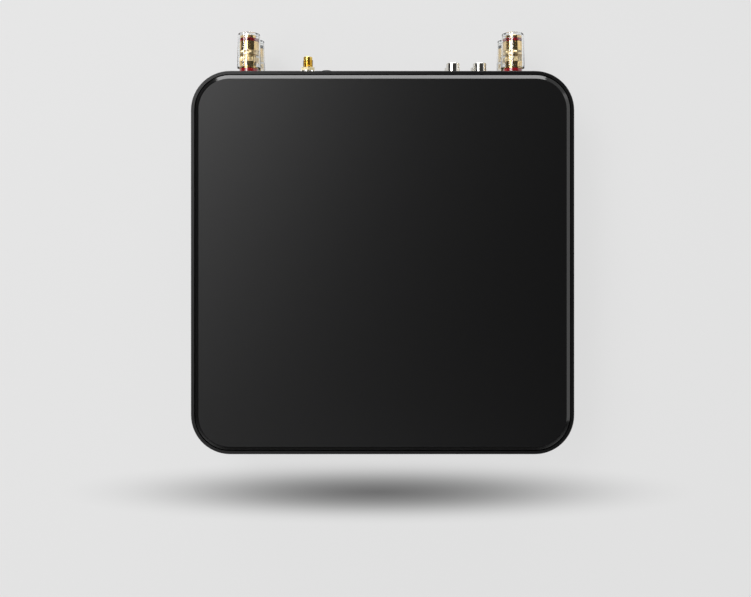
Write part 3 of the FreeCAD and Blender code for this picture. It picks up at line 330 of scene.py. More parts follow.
lid_low, lid_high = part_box("top_cover")
lid_plate_bottom = lid_high.z - 4.0 * mm
lid_rim = lid_high.z - 1.8 * mm
lid_corner = 21.4 * mm
lid_corner_steps = 28
lid_chamfer = 2.5 * mm
lid_edge = 0.16 * mm
chamfer_slopes = (0.3, 0.95)
boss_inset = 10.4 * mm
boss_radius = 3.3 * mm
boss_hole = 1.65 * mm
boss_hole_depth = 6.2 * mm
boss_sides = 32
margin = 0.1 * mm

lid = start_block((lid_low.x, lid_low.y, lid_plate_bottom), (lid_high.x, lid_high.y, lid_rim))
bpy.ops.object.mode_set(mode="EDIT")
bpy.ops.mesh.select_mode(type="EDGE")
bpy.ops.mesh.select_all(action="DESELECT")
bpy.ops.object.mode_set(mode="OBJECT")
for edge in lid.data.edges:
    ends = [lid.data.vertices[index].co for index in edge.vertices]
    edge.select = abs(ends[0].z - ends[1].z) > mm
bpy.ops.object.mode_set(mode="EDIT")
bpy.ops.mesh.bevel(offset=lid_corner, segments=lid_corner_steps, affect="EDGES")
pick(lid, lambda co: co.z > lid_rim - margin)
bpy.ops.mesh.inset(thickness=lid_chamfer, depth=lid_high.z - lid_rim)
bpy.ops.object.mode_set(mode="OBJECT")
soften(lid, lid_edge)
lid.data.materials.append(blasted_black)
lid.data.materials.append(milled_black)
for face in lid.data.polygons:
    slope = abs(face.normal.z)
    if chamfer_slopes[0] < slope < chamfer_slopes[1] and face.center.z > lid_rim:
        face.material_index = 1
bosses = []
for side_x in (-1, 1):
    for side_y in (-1, 1):
        boss_x = case_x + side_x * ((lid_high.x - lid_low.x) / 2 - boss_inset)
        boss_y = case_y + side_y * ((lid_high.y - lid_low.y) / 2 - boss_inset)
        bpy.ops.object.select_all(action="DESELECT")
        bpy.ops.mesh.primitive_cylinder_add(
            vertices=boss_sides,
            radius=boss_radius,
            depth=lid_plate_bottom - lid_low.z,
            location=(boss_x, boss_y, (lid_plate_bottom + lid_low.z) / 2),
        )
        boss = bpy.context.object
        bpy.ops.object.transform_apply(location=True, rotation=True, scale=True)
        pick(boss, lambda co: co.z < lid_low.z + margin)
        bpy.ops.mesh.inset(thickness=boss_radius - boss_hole, depth=0)
        bpy.ops.mesh.extrude_region_move(TRANSFORM_OT_translate={"value": (0, 0, boss_hole_depth)})
        bpy.ops.object.mode_set(mode="OBJECT")
        bosses.append(boss)
settle(joined([lid] + bosses), "lid", "root", blasted_black, "top_cover")


# The frame: four walls milled from one piece of aluminium and bead blasted like the lid. Its rim
# shows as a narrow band around the lid, and the rear wall carries all the connectors.

weld = 0.002 * mm
flat_angle = math.radians(0.5)


def merged_copy(node):
    """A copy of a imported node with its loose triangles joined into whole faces."""
    copy = bpy.data.objects.new(node + "_skin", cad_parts[node].data.copy())
    bpy.context.scene.collection.objects.link(copy)
    copy.data.materials.clear()
    bpy.ops.object.select_all(action="DESELECT")
    copy.select_set(True)
    bpy.context.view_layer.objects.active = copy
    if copy.data.has_custom_normals:
        bpy.ops.mesh.customdata_custom_splitnormals_clear()
    bpy.ops.object.mode_set(mode="EDIT")
    bpy.ops.mesh.select_all(action="SELECT")
    bpy.ops.mesh.remove_doubles(threshold=weld)
    bpy.ops.mesh.dissolve_limited(angle_limit=flat_angle)
    bpy.ops.object.mode_set(mode="OBJECT")
    return copy


frame_skin = merged_copy("side_frame")
settle(frame_skin, "frame_skin", "root", blasted_black, "side_frame")
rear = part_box("side_frame")[1].y


# The bottom: a pressed aluminium plate with two rows of vents, held by four long countersunk
# screws. Four rubber feet are screwed to it.

floor_skin = merged_copy("bottom_cover")
settle(floor_skin, "floor_skin", "root", blasted_black, "bottom_cover")

zinc_black = finish("black_zinc", (0.02, 0.02, 0.022), 0.9, 0.32)
grain(zinc_black, 2600, 0.004 * mm, (0.05, 0.05, 0.055), (0.012, 0.012, 0.013), roughness=(0.25, 0.42))
moulded_rubber = finish("moulded_rubber", (0.02, 0.02, 0.02), 0.0, 0.8, 0.3)
grain(moulded_rubber, 1800, 0.02 * mm, (0.028, 0.028, 0.028), (0.014, 0.014, 0.014), roughness=(0.7, 0.9))

feet = merged_copy("rubber_feet")
foot_edge = 0.35 * mm
soften(feet, foot_edge)
settle(feet, "feet", "root", moulded_rubber, "rubber_feet")

screw_head_radius = 2.8 * mm
key_radius = 1.2 * mm
key_depth = 1.2 * mm


def cut_out(piece, tool):
    """Cuts one mesh out of a piece and removes it."""
    bpy.context.view_layer.objects.active = piece
    cut = piece.modifiers.new("cut", "BOOLEAN")
    cut.object = tool
    cut.operation = "DIFFERENCE"
    cut.solver = "EXACT"
    bpy.ops.object.modifier_apply(modifier="cut")
    bpy.data.objects.remove(tool)


def socket_screws(node, name):
    """Four screws with a hexagonal key recess cut in each head from below."""
    screws = merged_copy(node)
    low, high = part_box(node)
    key_low = low.z - mm
    key_high = low.z + key_depth
    for side_x in (-1, 1):
        for side_y in (-1, 1):
            x = (low.x + high.x) / 2 + side_x * ((high.x - low.x) / 2 - screw_head_radius)
            y = (low.y + high.y) / 2 + side_y * ((high.y - low.y) / 2 - screw_head_radius)
            bpy.ops.object.select_all(action="DESELECT")
            bpy.ops.mesh.primitive_cylinder_add(
                vertices=6,
                radius=key_radius,
                depth=key_high - key_low,
                location=(x, y, (key_low + key_high) / 2),
            )
            cut_out(screws, bpy.context.object)
    settle(screws, name, "root", zinc_black, node)


socket_screws("case_screws", "case_socket_screws")
socket_screws("foot_screws", "foot_socket_screws")


# The binding posts: each has a gold-plated brass nut, turned with a taper, knurls and grooves,
# inside a clear polycarbonate grip, over a gold washer, a coloured washer and a clear flange.

post_names = ("left_positive", "left_negative", "right_positive", "right_negative")


def post_axis(name):
    """Where a post's axis crosses the rear face."""
    low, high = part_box(name + "_clamp_nut")
    return ((low.x + high.x) / 2, (low.z + high.z) / 2)


def turned(name, axis, face, profile, sides=96):
    """A ring turned on an axis along Y, through stations of radius and reach, in mm, from a face."""
    x, z = axis
    stations = [(radius * mm, face + reach * mm) for radius, reach in profile]
    bpy.ops.object.select_all(action="DESELECT")
    bpy.ops.mesh.primitive_circle_add(
        vertices=sides,
        radius=stations[0][0],
        location=(x, stations[0][1], z),
        rotation=(math.pi / 2, 0, 0),
    )
    piece = bpy.context.object
    piece.name = name
    bpy.ops.object.transform_apply(location=True, rotation=True, scale=True)
    bpy.ops.object.mode_set(mode="EDIT")
    bpy.ops.mesh.select_mode(type="VERT")
    bpy.ops.mesh.select_all(action="SELECT")
    for (radius, y), (next_radius, next_y) in zip(stations, stations[1:] + stations[:1]):
        bpy.ops.mesh.extrude_edges_move(TRANSFORM_OT_translate={"value": (0, next_y - y, 0)})
        ratio = next_radius / radius
        bpy.ops.transform.resize(value=(ratio, 1, ratio), center_override=(x, next_y, z))
    bpy.ops.mesh.select_all(action="SELECT")
    bpy.ops.mesh.remove_doubles(threshold=weld)
    bpy.ops.mesh.normals_make_consistent(inside=False)
    bpy.ops.object.mode_set(mode="OBJECT")
    return piece


def shrink_columns(piece, axis, face, span, columns, sides, inner, ratio):
    """Draws some columns of a turned piece's outer wall towards its axis, as a knurl or flute does."""
    x, z = axis
    low = face + span[0] * mm
    high = face + span[1] * mm

    def chosen(co):
        angle = math.atan2(co.x - x, co.z - z) % (2 * math.pi)
        column = round(angle / (2 * math.pi) * sides) % sides
        radius = math.hypot(co.x - x, co.z - z)
        return low < co.y < high and radius > inner * mm and columns(column)

    pick(piece, chosen)
    bpy.ops.transform.resize(value=(ratio, 1, ratio), center_override=(x, low, z))
    bpy.ops.object.mode_set(mode="OBJECT")


def copy_to(piece, shift):
    """A copy of a piece with its own mesh, moved, with its object still at the origin."""
    bpy.ops.object.select_all(action="DESELECT")
    piece.select_set(True)
    bpy.context.view_layer.objects.active = piece
    bpy.ops.object.duplicate()
    copy = bpy.context.object
    bpy.ops.transform.translate(value=shift)
    bpy.ops.object.transform_apply(location=True, rotation=True, scale=True)
    return copy


gold = finish("polished_gold_plate", (0.92, 0.65, 0.29), 1.0, 0.12)
grain(gold, 3200, 0.0016 * mm, (0.97, 0.72, 0.36), (0.86, 0.58, 0.22), (0.08, 0.18), (1, 0.15, 1))
# Rougher unpolished gold for the nut's wide groove, its colour darkened as painted shade in the recess
groove_gold_with_painted_shade = finish("unpolished_gold_with_painted_groove_shade", (0.6, 0.43, 0.2), 1.0, 0.4)
grain(groove_gold_with_painted_shade, 3200, 0.0016 * mm, (0.7, 0.5, 0.25), (0.5, 0.35, 0.15), roughness=(0.34, 0.48))
satin_gold = finish("satin_gold_plate", (0.95, 0.74, 0.42), 1.0, 0.36)
grain(satin_gold, 3200, 0.0016 * mm, (0.98, 0.8, 0.5), (0.88, 0.66, 0.34), roughness=(0.3, 0.42))
clear = finish("clear_polycarbonate", (0.97, 0.985, 0.985), 0.0, 0.03)
clear_shader = clear.node_tree.nodes["Principled BSDF"]
clear_shader.inputs["Transmission Weight"].default_value = 1.0
clear_shader.inputs["IOR"].default_value = 1.5
grain(clear, 500, 0.003 * mm, (0.98, 0.99, 0.99), (0.95, 0.97, 0.97), roughness=(0.01, 0.05))
glossy_red = finish("glossy_red_plastic", (0.35, 0.003, 0.008), 0.0, 0.2)
grain(glossy_red, 1400, 0.002 * mm, (0.4, 0.004, 0.01), (0.28, 0.002, 0.006), roughness=(0.14, 0.28))
red_shader = glossy_red.node_tree.nodes["Principled BSDF"]
red_shader.inputs["Coat Weight"].default_value = 1.0
red_shader.inputs["Coat IOR"].default_value = 1.6
glossy_black = finish("glossy_black_plastic", (0.012, 0.012, 0.013), 0.0, 0.22)
grain(glossy_black, 1400, 0.002 * mm, (0.016, 0.016, 0.017), (0.008, 0.008, 0.009), roughness=(0.16, 0.3))

first_axis = post_axis(post_names[0])
nut_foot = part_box("left_positive_clamp_nut")[0].y
washer_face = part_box("left_positive_clamp_washer")[0].y
base_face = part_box("positive_base_washers")[0].y
post_sides = 120
outside_from = 4.0 * mm
groove_edge = 5.69 * mm
wide_groove = (nut_foot + 6.2 * mm, nut_foot + 7.6 * mm)
satin_bands = (nut_foot + 3.6 * mm, nut_foot + 10.6 * mm)
# The knurl and the fine band, in mm from the nut's foot and axis, like the profiles
knurl_from = 5.0
knurl_span = (3.8, 6.2)
knurl_ratio = 0.95
band_span = (9.3, 10.0)
band_ratio = 0.965

nut = turned(
    "clamp_nut",
    first_axis,
    nut_foot,
    [
        (3.05, 0), (4.8, 0), (5.0, 0.2), (5.88, 3.5), (5.7, 3.7), (5.7, 3.75), (5.9, 3.9), (5.9, 6.1),
        (5.7, 6.3), (5.2, 6.35), (5.2, 7.55), (5.6, 7.6), (5.82, 7.75), (5.9, 8.1), (5.9, 8.6),
        (5.82, 8.95), (5.6, 9.1), (5.55, 9.2), (5.7, 9.35), (5.7, 9.95), (5.55, 10.1), (5.6, 10.2),
        (5.82, 10.35), (5.9, 10.7), (5.9, 16.05), (5.78, 16.2), (5.2, 16.2), (5.2, 18.2), (4.85, 18.2),
        (5.0, 18.35), (5.0, 19.7), (4.8, 19.9), (3.3, 19.9), (3.05, 19.7),
    ],
    post_sides,
)


def in_knurl(column):
    """Two columns of every four lie between the knurl's ribs."""
    return column % 4 < 2


def in_band(column):
    """Every second column of the fine band is pressed in."""
    return column % 2 < 1


shrink_columns(nut, first_axis, nut_foot, knurl_span, in_knurl, post_sides, knurl_from, knurl_ratio)
shrink_columns(nut, first_axis, nut_foot, band_span, in_band, post_sides, knurl_from, band_ratio)
for material in (gold, groove_gold_with_painted_shade, satin_gold):
    nut.data.materials.append(material)
for face in nut.data.polygons:
    radius = math.hypot(face.center.x - first_axis[0], face.center.z - first_axis[1])
    if radius > outside_from and satin_bands[0] < face.center.y < satin_bands[1]:
        face.material_index = 2
    # Faces in the wide groove take the darker gold with painted shade
    if outside_from < radius < groove_edge and wide_groove[0] < face.center.y < wide_groove[1]:
        face.material_index = 1
ring = turned(
    "colour_ring",
    first_axis,
    nut_foot,
    [(5.2, 16.22), (5.78, 16.22), (5.9, 16.34), (5.9, 18.06), (5.78, 18.18), (5.2, 18.18)],
)
washer = turned(
    "clamp_washer",
    first_axis,
    washer_face,
    [(3.15, 0), (6.0, 0), (6.1, 0.1), (6.1, 0.5), (6.0, 0.6), (3.15, 0.6)],
)
base = turned(
    "base_washer",
    first_axis,
    base_face,
    [(4.95, 0), (5.75, 0), (5.9, 0.15), (5.9, 2.05), (5.75, 2.2), (4.95, 2.2)],
)
flange = turned(
    "flange",
    first_axis,
    rear,
    [(3.15, -4.0), (4.9, -4.0), (4.9, 0), (7.3, 0), (7.4, 0.1), (7.4, 0.6), (7.2, 0.8), (3.15, 0.8)],
)
grip = turned(
    "grip",
    first_axis,
    nut_foot,
    [
        (6.05, 0), (7.2, 0), (7.4, 0.25), (6.81, 21.05), (6.5, 21.4), (4.75, 21.4), (4.6, 21.25),
        (4.6, 20.4), (5.85, 20.4), (6.05, 20.2),
    ],
    post_sides,
)
flute_columns = 10
flute_depths = {5: 0.2, 4: 0.17, 6: 0.17, 3: 0.067, 7: 0.067}
flute_span = (-0.1, 21.3)
flute_from = 6.6
grip_radius = 7.1
for column, depth in flute_depths.items():
    shrink_columns(
        grip,
        first_axis,
        nut_foot,
        flute_span,
        lambda number: number % flute_columns == column,
        post_sides,
        flute_from,
        1 - depth / grip_radius,
    )

flanges = []
base_washers = {"positive": [], "negative": []}
for name in post_names:
    x, z = post_axis(name)
    shift = (x - first_axis[0], 0, z - first_axis[1])
    cap = name + "_cap"
    sign = name.split("_")[1]
    settle(copy_to(nut, shift), name + "_nut", cap, gold, name + "_clamp_nut")
    settle(copy_to(grip, shift), name + "_grip", cap, clear, name + "_clear_shell")
    colour = glossy_red if sign == "positive" else glossy_black
    settle(copy_to(ring, shift), name + "_ring", cap, colour, name + "_colour_ring")
    wire_washer = copy_to(washer, shift)
    settle(wire_washer, name + "_wire_washer", name + "_washer", gold, name + "_clamp_washer")
    flanges.append(copy_to(flange, shift))
    base_washers[sign].append(copy_to(base, shift))
settle(joined(flanges), "clear_flanges", "root", clear, "post_flanges")
red_washers = joined(base_washers["positive"])
settle(red_washers, "red_washers", "root", glossy_red, "positive_base_washers")
black_washers = joined(base_washers["negative"])
settle(black_washers, "black_washers", "root", glossy_black, "negative_base_washers")
for pattern in (nut, ring, washer, base, flange, grip):
    bpy.data.objects.remove(pattern)
settle(merged_copy("post_studs"), "studs", "root", satin_gold, "post_studs")


# The antenna jack: a gold-plated threaded barrel with a white insulator in it, held in the wall
# by a pale gold hexagon nut over two nickel-plated washers.

antenna_low, antenna_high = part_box("antenna_nut")
antenna_axis = ((antenna_low.x + antenna_high.x) / 2, (antenna_low.z + antenna_high.z) / 2)
rich_gold = finish("rich_gold_plate", (0.82, 0.58, 0.13), 1.0, 0.22)
grain(rich_gold, 2600, 0.002 * mm, (0.88, 0.64, 0.16), (0.75, 0.5, 0.1), roughness=(0.17, 0.29))
nickel = finish("bright_nickel", (0.74, 0.72, 0.67), 1.0, 0.13)
grain(nickel, 2600, 0.0015 * mm, (0.79, 0.77, 0.72), (0.66, 0.64, 0.59), roughness=(0.08, 0.18))
pale_gold = finish("pale_gold_plate", (0.95, 0.84, 0.52), 1.0, 0.42)
grain(pale_gold, 2600, 0.0015 * mm, (0.98, 0.88, 0.58), (0.9, 0.78, 0.45), roughness=(0.36, 0.48))
white_insulator = finish("white_insulator", (0.8, 0.79, 0.75), 0.0, 0.45)
grain(white_insulator, 900, 0.004 * mm, (0.84, 0.83, 0.79), (0.74, 0.73, 0.69), roughness=(0.38, 0.52))

# The thread and the barrel, in mm like the profiles
thread_root = 2.72
thread_crest = 3.17
thread_pitch = 0.7056
thread_turns = 6
thread_steps = 32
thread_start = 0.05
thread_crest_reach = 0.36
thread_width = 0.62
thread_sink = 0.04
nut_face = antenna_high.y
barrel_reach = 9.8
barrel = turned(
    "antenna_barrel",
    antenna_axis,
    rear,
    [
        (2.3, -15.9), (3.2, -15.9), (3.2, -6.6), (4.0, -6.5), (4.0, -4.0), (2.97, -4.0), (2.97, 3.2),
        (thread_root, 3.25), (thread_root, 8.1), (2.75, 8.2), (2.75, 9.6), (2.6, barrel_reach),
        (2.35, barrel_reach), (2.3, 9.7),
    ],
)
x, z = antenna_axis
bpy.ops.object.select_all(action="DESELECT")
bpy.ops.mesh.primitive_circle_add(
    vertices=3, radius=0.3 * mm, fill_type="NGON", location=(x, nut_face, z + thread_root * mm)
)
thread = bpy.context.object
bpy.ops.object.transform_apply(location=True, rotation=True, scale=True)
root_z = z + (thread_root - thread_sink) * mm
crest_z = z + thread_crest * mm
start_y = nut_face + thread_start * mm
crest_y = start_y + thread_crest_reach * mm
end_y = start_y + thread_width * mm
corners = ((start_y, root_z), (crest_y, crest_z), (end_y, root_z))
for vertex, (corner_y, corner_z) in zip(thread.data.vertices, corners):
    vertex.co = (x, corner_y, corner_z)
pick(thread, lambda co: True)
turn = 2 * math.pi / thread_steps
thread_rise = thread_pitch * mm / thread_steps
for step in range(thread_steps * thread_turns):
    bpy.ops.mesh.extrude_region_move(TRANSFORM_OT_translate={"value": (0, thread_rise, 0)})
    bpy.ops.transform.rotate(value=turn, orient_axis="Y", center_override=(x, rear, z))
bpy.ops.mesh.select_all(action="SELECT")
bpy.ops.mesh.normals_make_consistent(inside=False)
bpy.ops.object.mode_set(mode="OBJECT")
settle(joined([barrel, thread]), "antenna_barrel", "root", rich_gold, "antenna_jack")

hexagon_columns = 72
flat_columns = hexagon_columns // 6
column_angle = 360 / hexagon_columns
half_flat = 30
nut_turn = 1
flat_span = (-0.1, 2.1)
flat_from = 4.0
hexagon = turned(
    "antenna_hexagon",
    antenna_axis,
    antenna_low.y,
    [(3.25, 0), (4.3, 0), (4.62, 0.2), (4.62, 1.8), (4.3, 2.0), (3.4, 2.0), (3.25, 1.85)],
    hexagon_columns,
)
for column in range(flat_columns):
    edge_angle = math.radians(column_angle * column - half_flat)
    flat_ratio = math.cos(math.radians(half_flat)) / math.cos(edge_angle)
    shrink_columns(
        hexagon,
        antenna_axis,
        antenna_low.y,
        flat_span,
        lambda number: (number - nut_turn) % flat_columns == column,
        hexagon_columns,
        flat_from,
        flat_ratio,
    )
settle(hexagon, "antenna_hexagon", "root", pale_gold, "antenna_nut")
lower_washer = turned(
    "antenna_washer",
    antenna_axis,
    rear,
    [(3.3, 0), (5.0, 0), (5.1, 0.1), (5.1, 0.5), (5.0, 0.6), (3.3, 0.6)],
)
washer_sides = 96
tooth_columns = 8
tooth_span = (0.5, 1.3)
tooth_ratio = 0.93
upper_washer = turned(
    "antenna_spring_washer",
    antenna_axis,
    rear,
    [(3.3, 0.6), (4.6, 0.6), (4.7, 0.7), (4.7, 1.1), (4.6, 1.2), (3.3, 1.2)],
    washer_sides,
)


def between_teeth(column):
    """Three columns of every eight lie between the lock washer's teeth."""
    return column % tooth_columns < 3


shrink_columns(
    upper_washer, antenna_axis, rear, tooth_span, between_teeth, washer_sides, flat_from, tooth_ratio
)
washers = joined([lower_washer, upper_washer])
settle(washers, "antenna_wall_washers", "root", nickel, "antenna_washers")
antenna_core = merged_copy("antenna_insulator")
settle(antenna_core, "antenna_core", "root", white_insulator, "antenna_insulator")


# The small input jack: a black moulding on the radio board, whose round nose comes through a hole
# in the wall beside the antenna jack.

moulded_black = finish("moulded_black_plastic", (0.012, 0.012, 0.013), 0.0, 0.45, 0.45)
grain(moulded_black, 2200, 0.01 * mm, (0.018, 0.018, 0.019), (0.008, 0.008, 0.009), roughness=(0.38, 0.55))
small_jack = merged_copy("aux_jack")
jack_edge = 0.15 * mm
moulded_angle = 40
soften(small_jack, jack_edge, moulded_angle)
settle(small_jack, "small_jack", "root", moulded_black, "aux_jack")


# The phono jacks: four nickel-plated shells with rolled lips in one black moulding, with gold
# contacts in their cores and one screw between them into the moulding.

jack_low, jack_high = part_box("phono_shells")
collar = 4.5
jack_columns = (jack_low.x + collar * mm, jack_high.x - collar * mm)
jack_rows = (jack_low.z + collar * mm, jack_high.z - collar * mm)
jack_places = [(column_x, row_z) for column_x in jack_columns for row_z in jack_rows]
shell_reach = (jack_high.y - rear) / mm
shell = turned(
    "phono_shell",
    jack_places[0],
    rear,
    [
        (3.65, -3.0), (collar, -3.0), (collar, 0), (4.15, 0), (4.15, shell_reach - 0.25),
        (4.0, shell_reach), (3.8, shell_reach), (3.65, shell_reach - 0.2),
    ],
)
contact_reach = (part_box("phono_contacts")[1].y - rear) / mm
contact = turned(
    "phono_contact",
    jack_places[0],
    rear,
    [
        (1.6, -1.9), (2.1, -1.9), (2.1, contact_reach - 0.1), (1.95, contact_reach), (1.75, contact_reach),
        (1.6, contact_reach - 0.2),
    ],
    48,
)
shells = []
contacts = []
for place_x, place_z in jack_places:
    shift = (place_x - jack_places[0][0], 0, place_z - jack_places[0][1])
    shells.append(copy_to(shell, shift))
    contacts.append(copy_to(contact, shift))
settle(joined(shells), "phono_sleeves", "root", nickel, "phono_shells")
settle(joined(contacts), "phono_sockets", "root", gold, "phono_contacts")
bpy.data.objects.remove(shell)
bpy.data.objects.remove(contact)
settle(merged_copy("phono_housing"), "phono_block", "root", moulded_black, "phono_housing")
block_screw = merged_copy("phono_screw")
screw_low, screw_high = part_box("phono_screw")
screw_x = (screw_low.x + screw_high.x) / 2
screw_z = (screw_low.z + screw_high.z) / 2
cross_reach = 1.6 * mm
cross_width = 0.35 * mm
cross_depth = 1.0 * mm
for reach_x, reach_z in ((cross_reach, cross_width), (cross_width, cross_reach)):
    arm = start_block(
        (screw_x - reach_x, screw_high.y - cross_depth, screw_z - reach_z),
        (screw_x + reach_x, screw_high.y + mm, screw_z + reach_z),
    )
    cut_out(block_screw, arm)
settle(block_screw, "phono_block_screw", "root", zinc_black, "phono_screw")


# The mains inlet and the power rocker: black mouldings that snap into their cut-outs, with
# nickel-plated pins in the inlet and a glossy rocker on two short pins.

inlet_edge = 0.25 * mm
pin_edge = 0.3 * mm
switch_edge = 0.2 * mm
rocker_edge = 0.3 * mm
inlet = merged_copy("mains_inlet")
soften(inlet, inlet_edge, moulded_angle)
settle(inlet, "inlet_moulding", "root", moulded_black, "mains_inlet")
pins = merged_copy("mains_inlet_pins")
soften(pins, pin_edge, moulded_angle)
settle(pins, "inlet_blades", "root", nickel, "mains_inlet_pins")
switch = merged_copy("rocker_frame")
soften(switch, switch_edge, moulded_angle)
settle(switch, "switch_moulding", "root", moulded_black, "rocker_frame")
rocker = merged_copy("power_rocker")
soften(rocker, rocker_edge, moulded_angle)
rocker_low, rocker_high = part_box("power_rocker")
rocker_x = (rocker_low.x + rocker_high.x) / 2
rocker_z = (rocker_low.z + rocker_high.z) / 2
mark_drop = 4.3 * mm
bar_half_width = 0.3 * mm
bar_half_height = 1.5 * mm
circle_radius = 1.4 * mm
circle_half_stroke = 0.28 * mm
mark_tone = 0.7
printed_black = finish("printed_rocker_plastic", (0.012, 0.012, 0.013), 0.0, 0.25)
rocker_tint = grain(
    printed_black, 1400, 0.002 * mm, (0.016, 0.016, 0.017), (0.008, 0.008, 0.009), roughness=(0.2, 0.32)
)
rocker_tree = printed_black.node_tree


def math_step(operation, *values):
    """One sum on the rocker's material, of numbers or of other nodes' outputs."""
    step = rocker_tree.nodes.new("ShaderNodeMath")
    step.operation = operation
    for socket, value in zip(step.inputs, values):
        if isinstance(value, (int, float)):
            socket.default_value = value
        else:
            rocker_tree.links.new(value, socket)
    return step.outputs["Value"]


spot = rocker_tree.nodes.new("ShaderNodeTexCoord")
parts = rocker_tree.nodes.new("ShaderNodeSeparateXYZ")
rocker_tree.links.new(spot.outputs["Object"], parts.inputs["Vector"])
across = math_step("SUBTRACT", parts.outputs["X"], rocker_x)
up = math_step("SUBTRACT", parts.outputs["Z"], rocker_z)
in_bar_width = math_step("COMPARE", across, 0, bar_half_width)
in_bar_height = math_step("COMPARE", up, -mark_drop, bar_half_height)
bar = math_step("MULTIPLY", in_bar_width, in_bar_height)
above_circle = math_step("SUBTRACT", up, mark_drop)
across_squared = math_step("MULTIPLY", across, across)
above_squared = math_step("MULTIPLY", above_circle, above_circle)
from_circle = math_step("SQRT", math_step("ADD", across_squared, above_squared))
circle = math_step("COMPARE", from_circle, circle_radius, circle_half_stroke)
marked = rocker_tree.nodes.new("ShaderNodeMix")
marked.data_type = "RGBA"
marked.inputs["B"].default_value = (mark_tone, mark_tone, mark_tone, 1)
rocker_shader = rocker_tree.nodes["Principled BSDF"]
rocker_tree.links.new(math_step("MAXIMUM", bar, circle), marked.inputs["Factor"])
rocker_tree.links.new(rocker_tint.outputs["Result"], marked.inputs["A"])
rocker_tree.links.new(marked.outputs["Result"], rocker_shader.inputs["Base Color"])
settle(rocker, "rocker_key", "rocker", printed_black, "power_rocker")


# The front: three black turned aluminium buttons that slide in their holes over small switches,
# and a smoked acrylic window in front of the remote control's receiver.

button_light = (0.03, 0.03, 0.032)
button_dark = (0.014, 0.014, 0.015)
button_edge = 0.12 * mm
button_angle = 25
window_edge = 0.2 * mm
for name in ("power", "volume_down", "volume_up"):
    button_low, button_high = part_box(name + "_button")
    turned_black = finish(name + "_turned_aluminium", (0.02, 0.02, 0.022), 0.6, 0.35)
    grain(turned_black, 2400, 0.004 * mm, button_light, button_dark, roughness=(0.28, 0.42))
    tree = turned_black.node_tree
    spot = tree.nodes.new("ShaderNodeTexCoord")
    centre = tree.nodes.new("ShaderNodeMapping")
    centre.vector_type = "POINT"
    centre.inputs["Location"].default_value = (
        -(button_low.x + button_high.x) / 2, 0, -(button_low.z + button_high.z) / 2
    )
    marks = tree.nodes.new("ShaderNodeTexWave")
    marks.wave_type = "RINGS"
    marks.rings_direction = "Y"
    marks.inputs["Scale"].default_value = 800
    marks.inputs["Distortion"].default_value = 0.4
    marks_bump = tree.nodes.new("ShaderNodeBump")
    marks_bump.inputs["Distance"].default_value = 0.012 * mm
    tree.links.new(spot.outputs["Object"], centre.inputs["Vector"])
    tree.links.new(centre.outputs["Vector"], marks.inputs["Vector"])
    tree.links.new(marks.outputs["Fac"], marks_bump.inputs["Height"])
    tree.links.new(marks_bump.outputs["Normal"], tree.nodes["Principled BSDF"].inputs["Normal"])
    button = merged_copy(name + "_button")
    soften(button, button_edge, button_angle)
    settle(button, name + "_cap", name + "_key", turned_black, name + "_button")
smoked = finish("smoked_acrylic", (0.02, 0.006, 0.008), 0.0, 0.08)
grain(smoked, 300, 0.001 * mm, (0.024, 0.007, 0.01), (0.016, 0.005, 0.007), roughness=(0.05, 0.1))
window = merged_copy("status_window")
soften(window, window_edge, moulded_angle)
settle(window, "remote_window", "root", smoked, "status_window")


# Inside the case: boards on brass standoffs, the supply and amplifier parts on them, and the wires.
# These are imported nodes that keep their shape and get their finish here.

def dress(material, *names):
    """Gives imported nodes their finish."""
    for name in names:
        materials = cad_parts[name].data.materials
        materials.clear()
        materials.append(material)


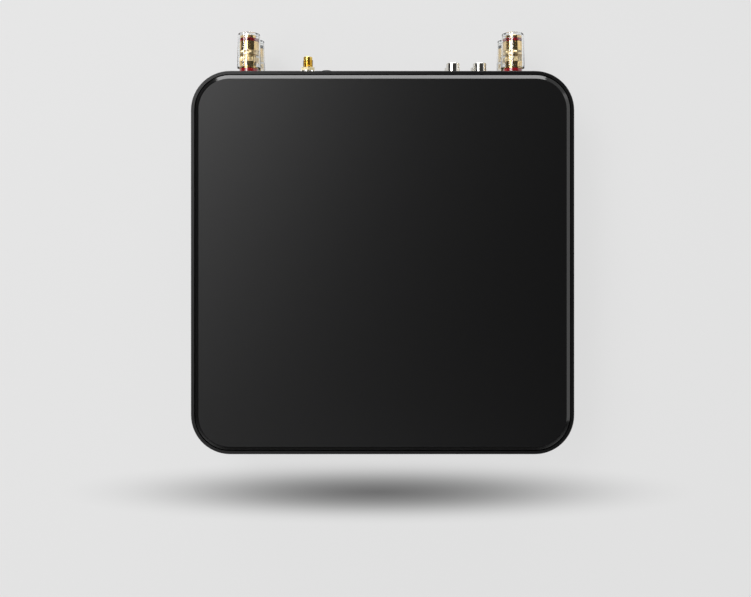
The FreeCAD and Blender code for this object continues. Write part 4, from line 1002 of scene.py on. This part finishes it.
solder_mask = finish("green_solder_mask", (0.01, 0.09, 0.035), 0.0, 0.3)
mask_tint = grain(
    solder_mask, 700, 0.01 * mm, (0.012, 0.11, 0.045), (0.008, 0.07, 0.028), roughness=(0.22, 0.4)
)
board_tree = solder_mask.node_tree
board_spot = board_tree.nodes.new("ShaderNodeTexCoord")
tracks = board_tree.nodes.new("ShaderNodeTexBrick")
tracks.inputs["Scale"].default_value = 90
tracks.inputs["Mortar Size"].default_value = 0.03
tracks.inputs["Color1"].default_value = (0.008, 0.08, 0.03, 1)
tracks.inputs["Color2"].default_value = (0.012, 0.1, 0.04, 1)
tracks.inputs["Mortar"].default_value = (0.03, 0.2, 0.08, 1)
board_tree.links.new(board_spot.outputs["Object"], tracks.inputs["Vector"])
board_tree.links.new(tracks.outputs["Color"], mask_tint.inputs["B"])
turned_brass = finish("turned_brass", (0.75, 0.55, 0.25), 1.0, 0.3)
grain(turned_brass, 2200, 0.003 * mm, (0.8, 0.6, 0.3), (0.65, 0.47, 0.2), roughness=(0.22, 0.38))
moulded_epoxy = finish("moulded_epoxy", (0.02, 0.02, 0.02), 0.0, 0.55)
grain(moulded_epoxy, 2500, 0.01 * mm, (0.03, 0.03, 0.03), (0.014, 0.014, 0.014), roughness=(0.48, 0.62))
extruded_aluminium = finish("extruded_aluminium", (0.7, 0.7, 0.71), 1.0, 0.35)
grain(
    extruded_aluminium, 1500, 0.006 * mm, (0.78, 0.78, 0.79), (0.6, 0.6, 0.61), (0.28, 0.45), (1, 0.05, 1)
)
pressed_ferrite = finish("pressed_ferrite", (0.05, 0.045, 0.045), 0.0, 0.6)
grain(pressed_ferrite, 1700, 0.02 * mm, (0.07, 0.065, 0.065), (0.035, 0.03, 0.03), roughness=(0.5, 0.7))
shrink_sleeve = finish("shrink_sleeve", (0.015, 0.02, 0.05), 0.0, 0.35)
grain(shrink_sleeve, 800, 0.004 * mm, (0.02, 0.028, 0.065), (0.01, 0.015, 0.035), roughness=(0.28, 0.42))
wire_cover = finish("wire_cover", (0.3, 0.015, 0.015), 0.0, 0.45)
grain(wire_cover, 1200, 0.006 * mm, (0.36, 0.02, 0.02), (0.24, 0.01, 0.01), roughness=(0.38, 0.52))

dress(solder_mask, "front_board", "main_board", "power_board", "radio_board")
dress(turned_brass, "board_standoffs")
dress(zinc_black, "board_screws")
dress(moulded_epoxy, "amplifier_chips", "infrared_receiver")
dress(extruded_aluminium, "heatsink")
dress(pressed_ferrite, "output_inductors", "power_transformer")
dress(shrink_sleeve, "electrolytic_capacitors")
dress(wire_cover, "internal_wires")
dress(nickel, "radio_module")
dress(moulded_black, "front_switches", "post_inner_insulators")
dress(gold, "post_lock_nuts")
